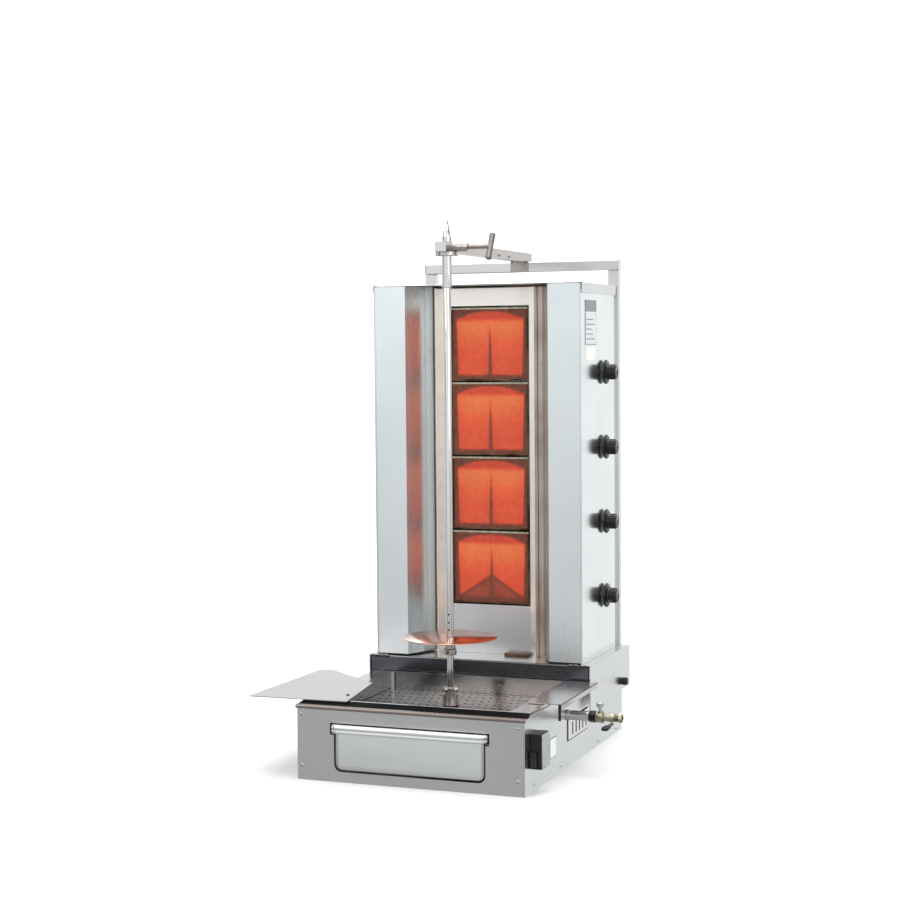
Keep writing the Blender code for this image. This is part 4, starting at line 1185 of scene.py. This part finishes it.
def stage():
    """A pale floor that sweeps up into a backdrop, a bright even sky, and large soft lamps."""
    bm = bmesh.new()
    half, rear, radius, height, near = 14.0, 7.0, 3.0, 9.0, -14.0
    profile = [(near, 0), *arc((rear, radius), radius, 270, 360, 16), (rear + radius, height)]
    lines = [[bm.verts.new((x, y, z - 0.0002)) for x in (-half, half)] for y, z in profile]
    for a, b in zip(lines, lines[1:]):
        bm.faces.new((a[0], a[1], b[1], b[0]))
    mesh = bpy.data.meshes.new("studio_floor")
    bm.to_mesh(mesh)
    bm.free()
    look = Look("studio_paper", (0.9, 0.9, 0.9), 0.9)
    look.bump(look.noise(400.0), 0.0001, 0.1)
    mesh.materials.append(look.material)
    mesh.shade_smooth()
    floor = bpy.data.objects.new("studio_floor", mesh)
    bpy.context.scene.collection.objects.link(floor)
    floor.visible_glossy = False  # steel mirrors the sky's shading, not an endless white floor
    sky()
    lamp("key", (-2.6, -3.2, 3.2), (0, 0, 0.6), 2.2, 60)
    lamp("fill", (3.4, -2.2, 2.2), (0, 0, 0.6), 2.0, 30)
    lamp("top", (0.2, 0.2, 4.2), (0, 0, 0.5), 3.0, 55)
    lamp("backdrop", (0, 4.0, 7.0), (0, 9.0, 2.0), 5.0, 700)


def sky():
    """White above, and greyer low down in front, as a room is for what the steel mirrors."""
    world = bpy.data.worlds.new("studio_sky")
    world.use_nodes = True
    nodes, link = world.node_tree.nodes, world.node_tree.links.new
    direction = nodes.new("ShaderNodeTexCoord").outputs["Generated"]
    height = nodes.new("ShaderNodeVectorMath")
    height.operation = "DOT_PRODUCT"
    height.inputs[1].default_value = (0, 0.12, 1)
    link(direction, height.inputs[0])
    shift = nodes.new("ShaderNodeMapRange")
    shift.inputs["From Min"].default_value, shift.inputs["From Max"].default_value = -0.4, 0.4
    link(height.outputs["Value"], shift.inputs["Value"])
    greys = nodes.new("ShaderNodeValToRGB")
    steps = ((0.05, 0.44), (0.2, 0.58), (0.32, 0.8), (0.42, 0.95), (0.6, 1.0))
    set_stops(greys, [(place, (grey * 0.97, grey * 0.99, grey)) for place, grey in steps])
    link(shift.outputs["Result"], greys.inputs["Fac"])
    flags = nodes.new("ShaderNodeValToRGB")  # a dark flag on either side gives round bars their dark lines
    bands = ((0.72, 1.0), (0.8, 0.22), (0.9, 0.22), (0.97, 1.0))
    set_stops(flags, [(place, (grey, grey, grey)) for place, grey in bands])
    split = nodes.new("ShaderNodeSeparateXYZ")
    link(direction, split.inputs[0])
    sideways = nodes.new("ShaderNodeMath")
    sideways.operation = "ABSOLUTE"
    link(split.outputs["X"], sideways.inputs[0])
    link(sideways.outputs[0], flags.inputs["Fac"])
    product = nodes.new("ShaderNodeMix")
    product.data_type, product.blend_type = "RGBA", "MULTIPLY"
    product.inputs["Factor"].default_value = 1
    colour_a, colour_b, colour_out = 6, 7, 2  # by number: the colour sockets share names with other types
    link(greys.outputs["Color"], product.inputs[colour_a])
    link(flags.outputs["Color"], product.inputs[colour_b])
    link(product.outputs[colour_out], nodes["Background"].inputs["Color"])
    bpy.context.scene.world = world


def lamp(name, place, target, size, power):
    data = bpy.data.lights.new(name, "AREA")
    data.size, data.energy, data.shape = size, power, "SQUARE"
    obj = bpy.data.objects.new(name, data)
    obj.location = place
    obj.rotation_euler = (Vector(target) - Vector(place)).to_track_quat("-Z", "Y").to_euler()
    bpy.context.scene.collection.objects.link(obj)


def camera():
    """Stands to the right of the front, at about the height of the upper burners."""
    azimuth, pitch, roll = radians(21.053), radians(3.11), radians(-0.495)
    target, distance = Vector((0.0021, -0.11, 0.6908)), 4.0046
    back = Vector((sin(azimuth) * cos(pitch), -cos(azimuth) * cos(pitch), sin(pitch)))
    right = Vector((cos(azimuth), sin(azimuth), 0))
    up = back.cross(right)
    right, up = right * cos(roll) + up * sin(roll), up * cos(roll) - right * sin(roll)
    data = bpy.data.cameras.new("camera")
    data.lens, data.sensor_width = 73.26, 36.0
    data.clip_start, data.clip_end = 0.05, 100
    obj = bpy.data.objects.new("camera", data)
    turn = Matrix((right, up, back)).transposed().to_4x4()
    obj.matrix_world = Matrix.Translation(target + back * distance) @ turn
    bpy.context.scene.collection.objects.link(obj)
    bpy.context.scene.camera = obj


bpy.context.scene.view_settings.view_transform = "Standard"
finish_kept_nodes()
burners()
spit()
top_fittings()
drawer_pan()
tray_floor()
ledge()
vents()
switch()
gas_fittings()
knobs()
top_cap()
wing_details()
column_liners()
pedestal_details()
column_details()
all_screws()
plate_edges()
labels()
stage()
camera()
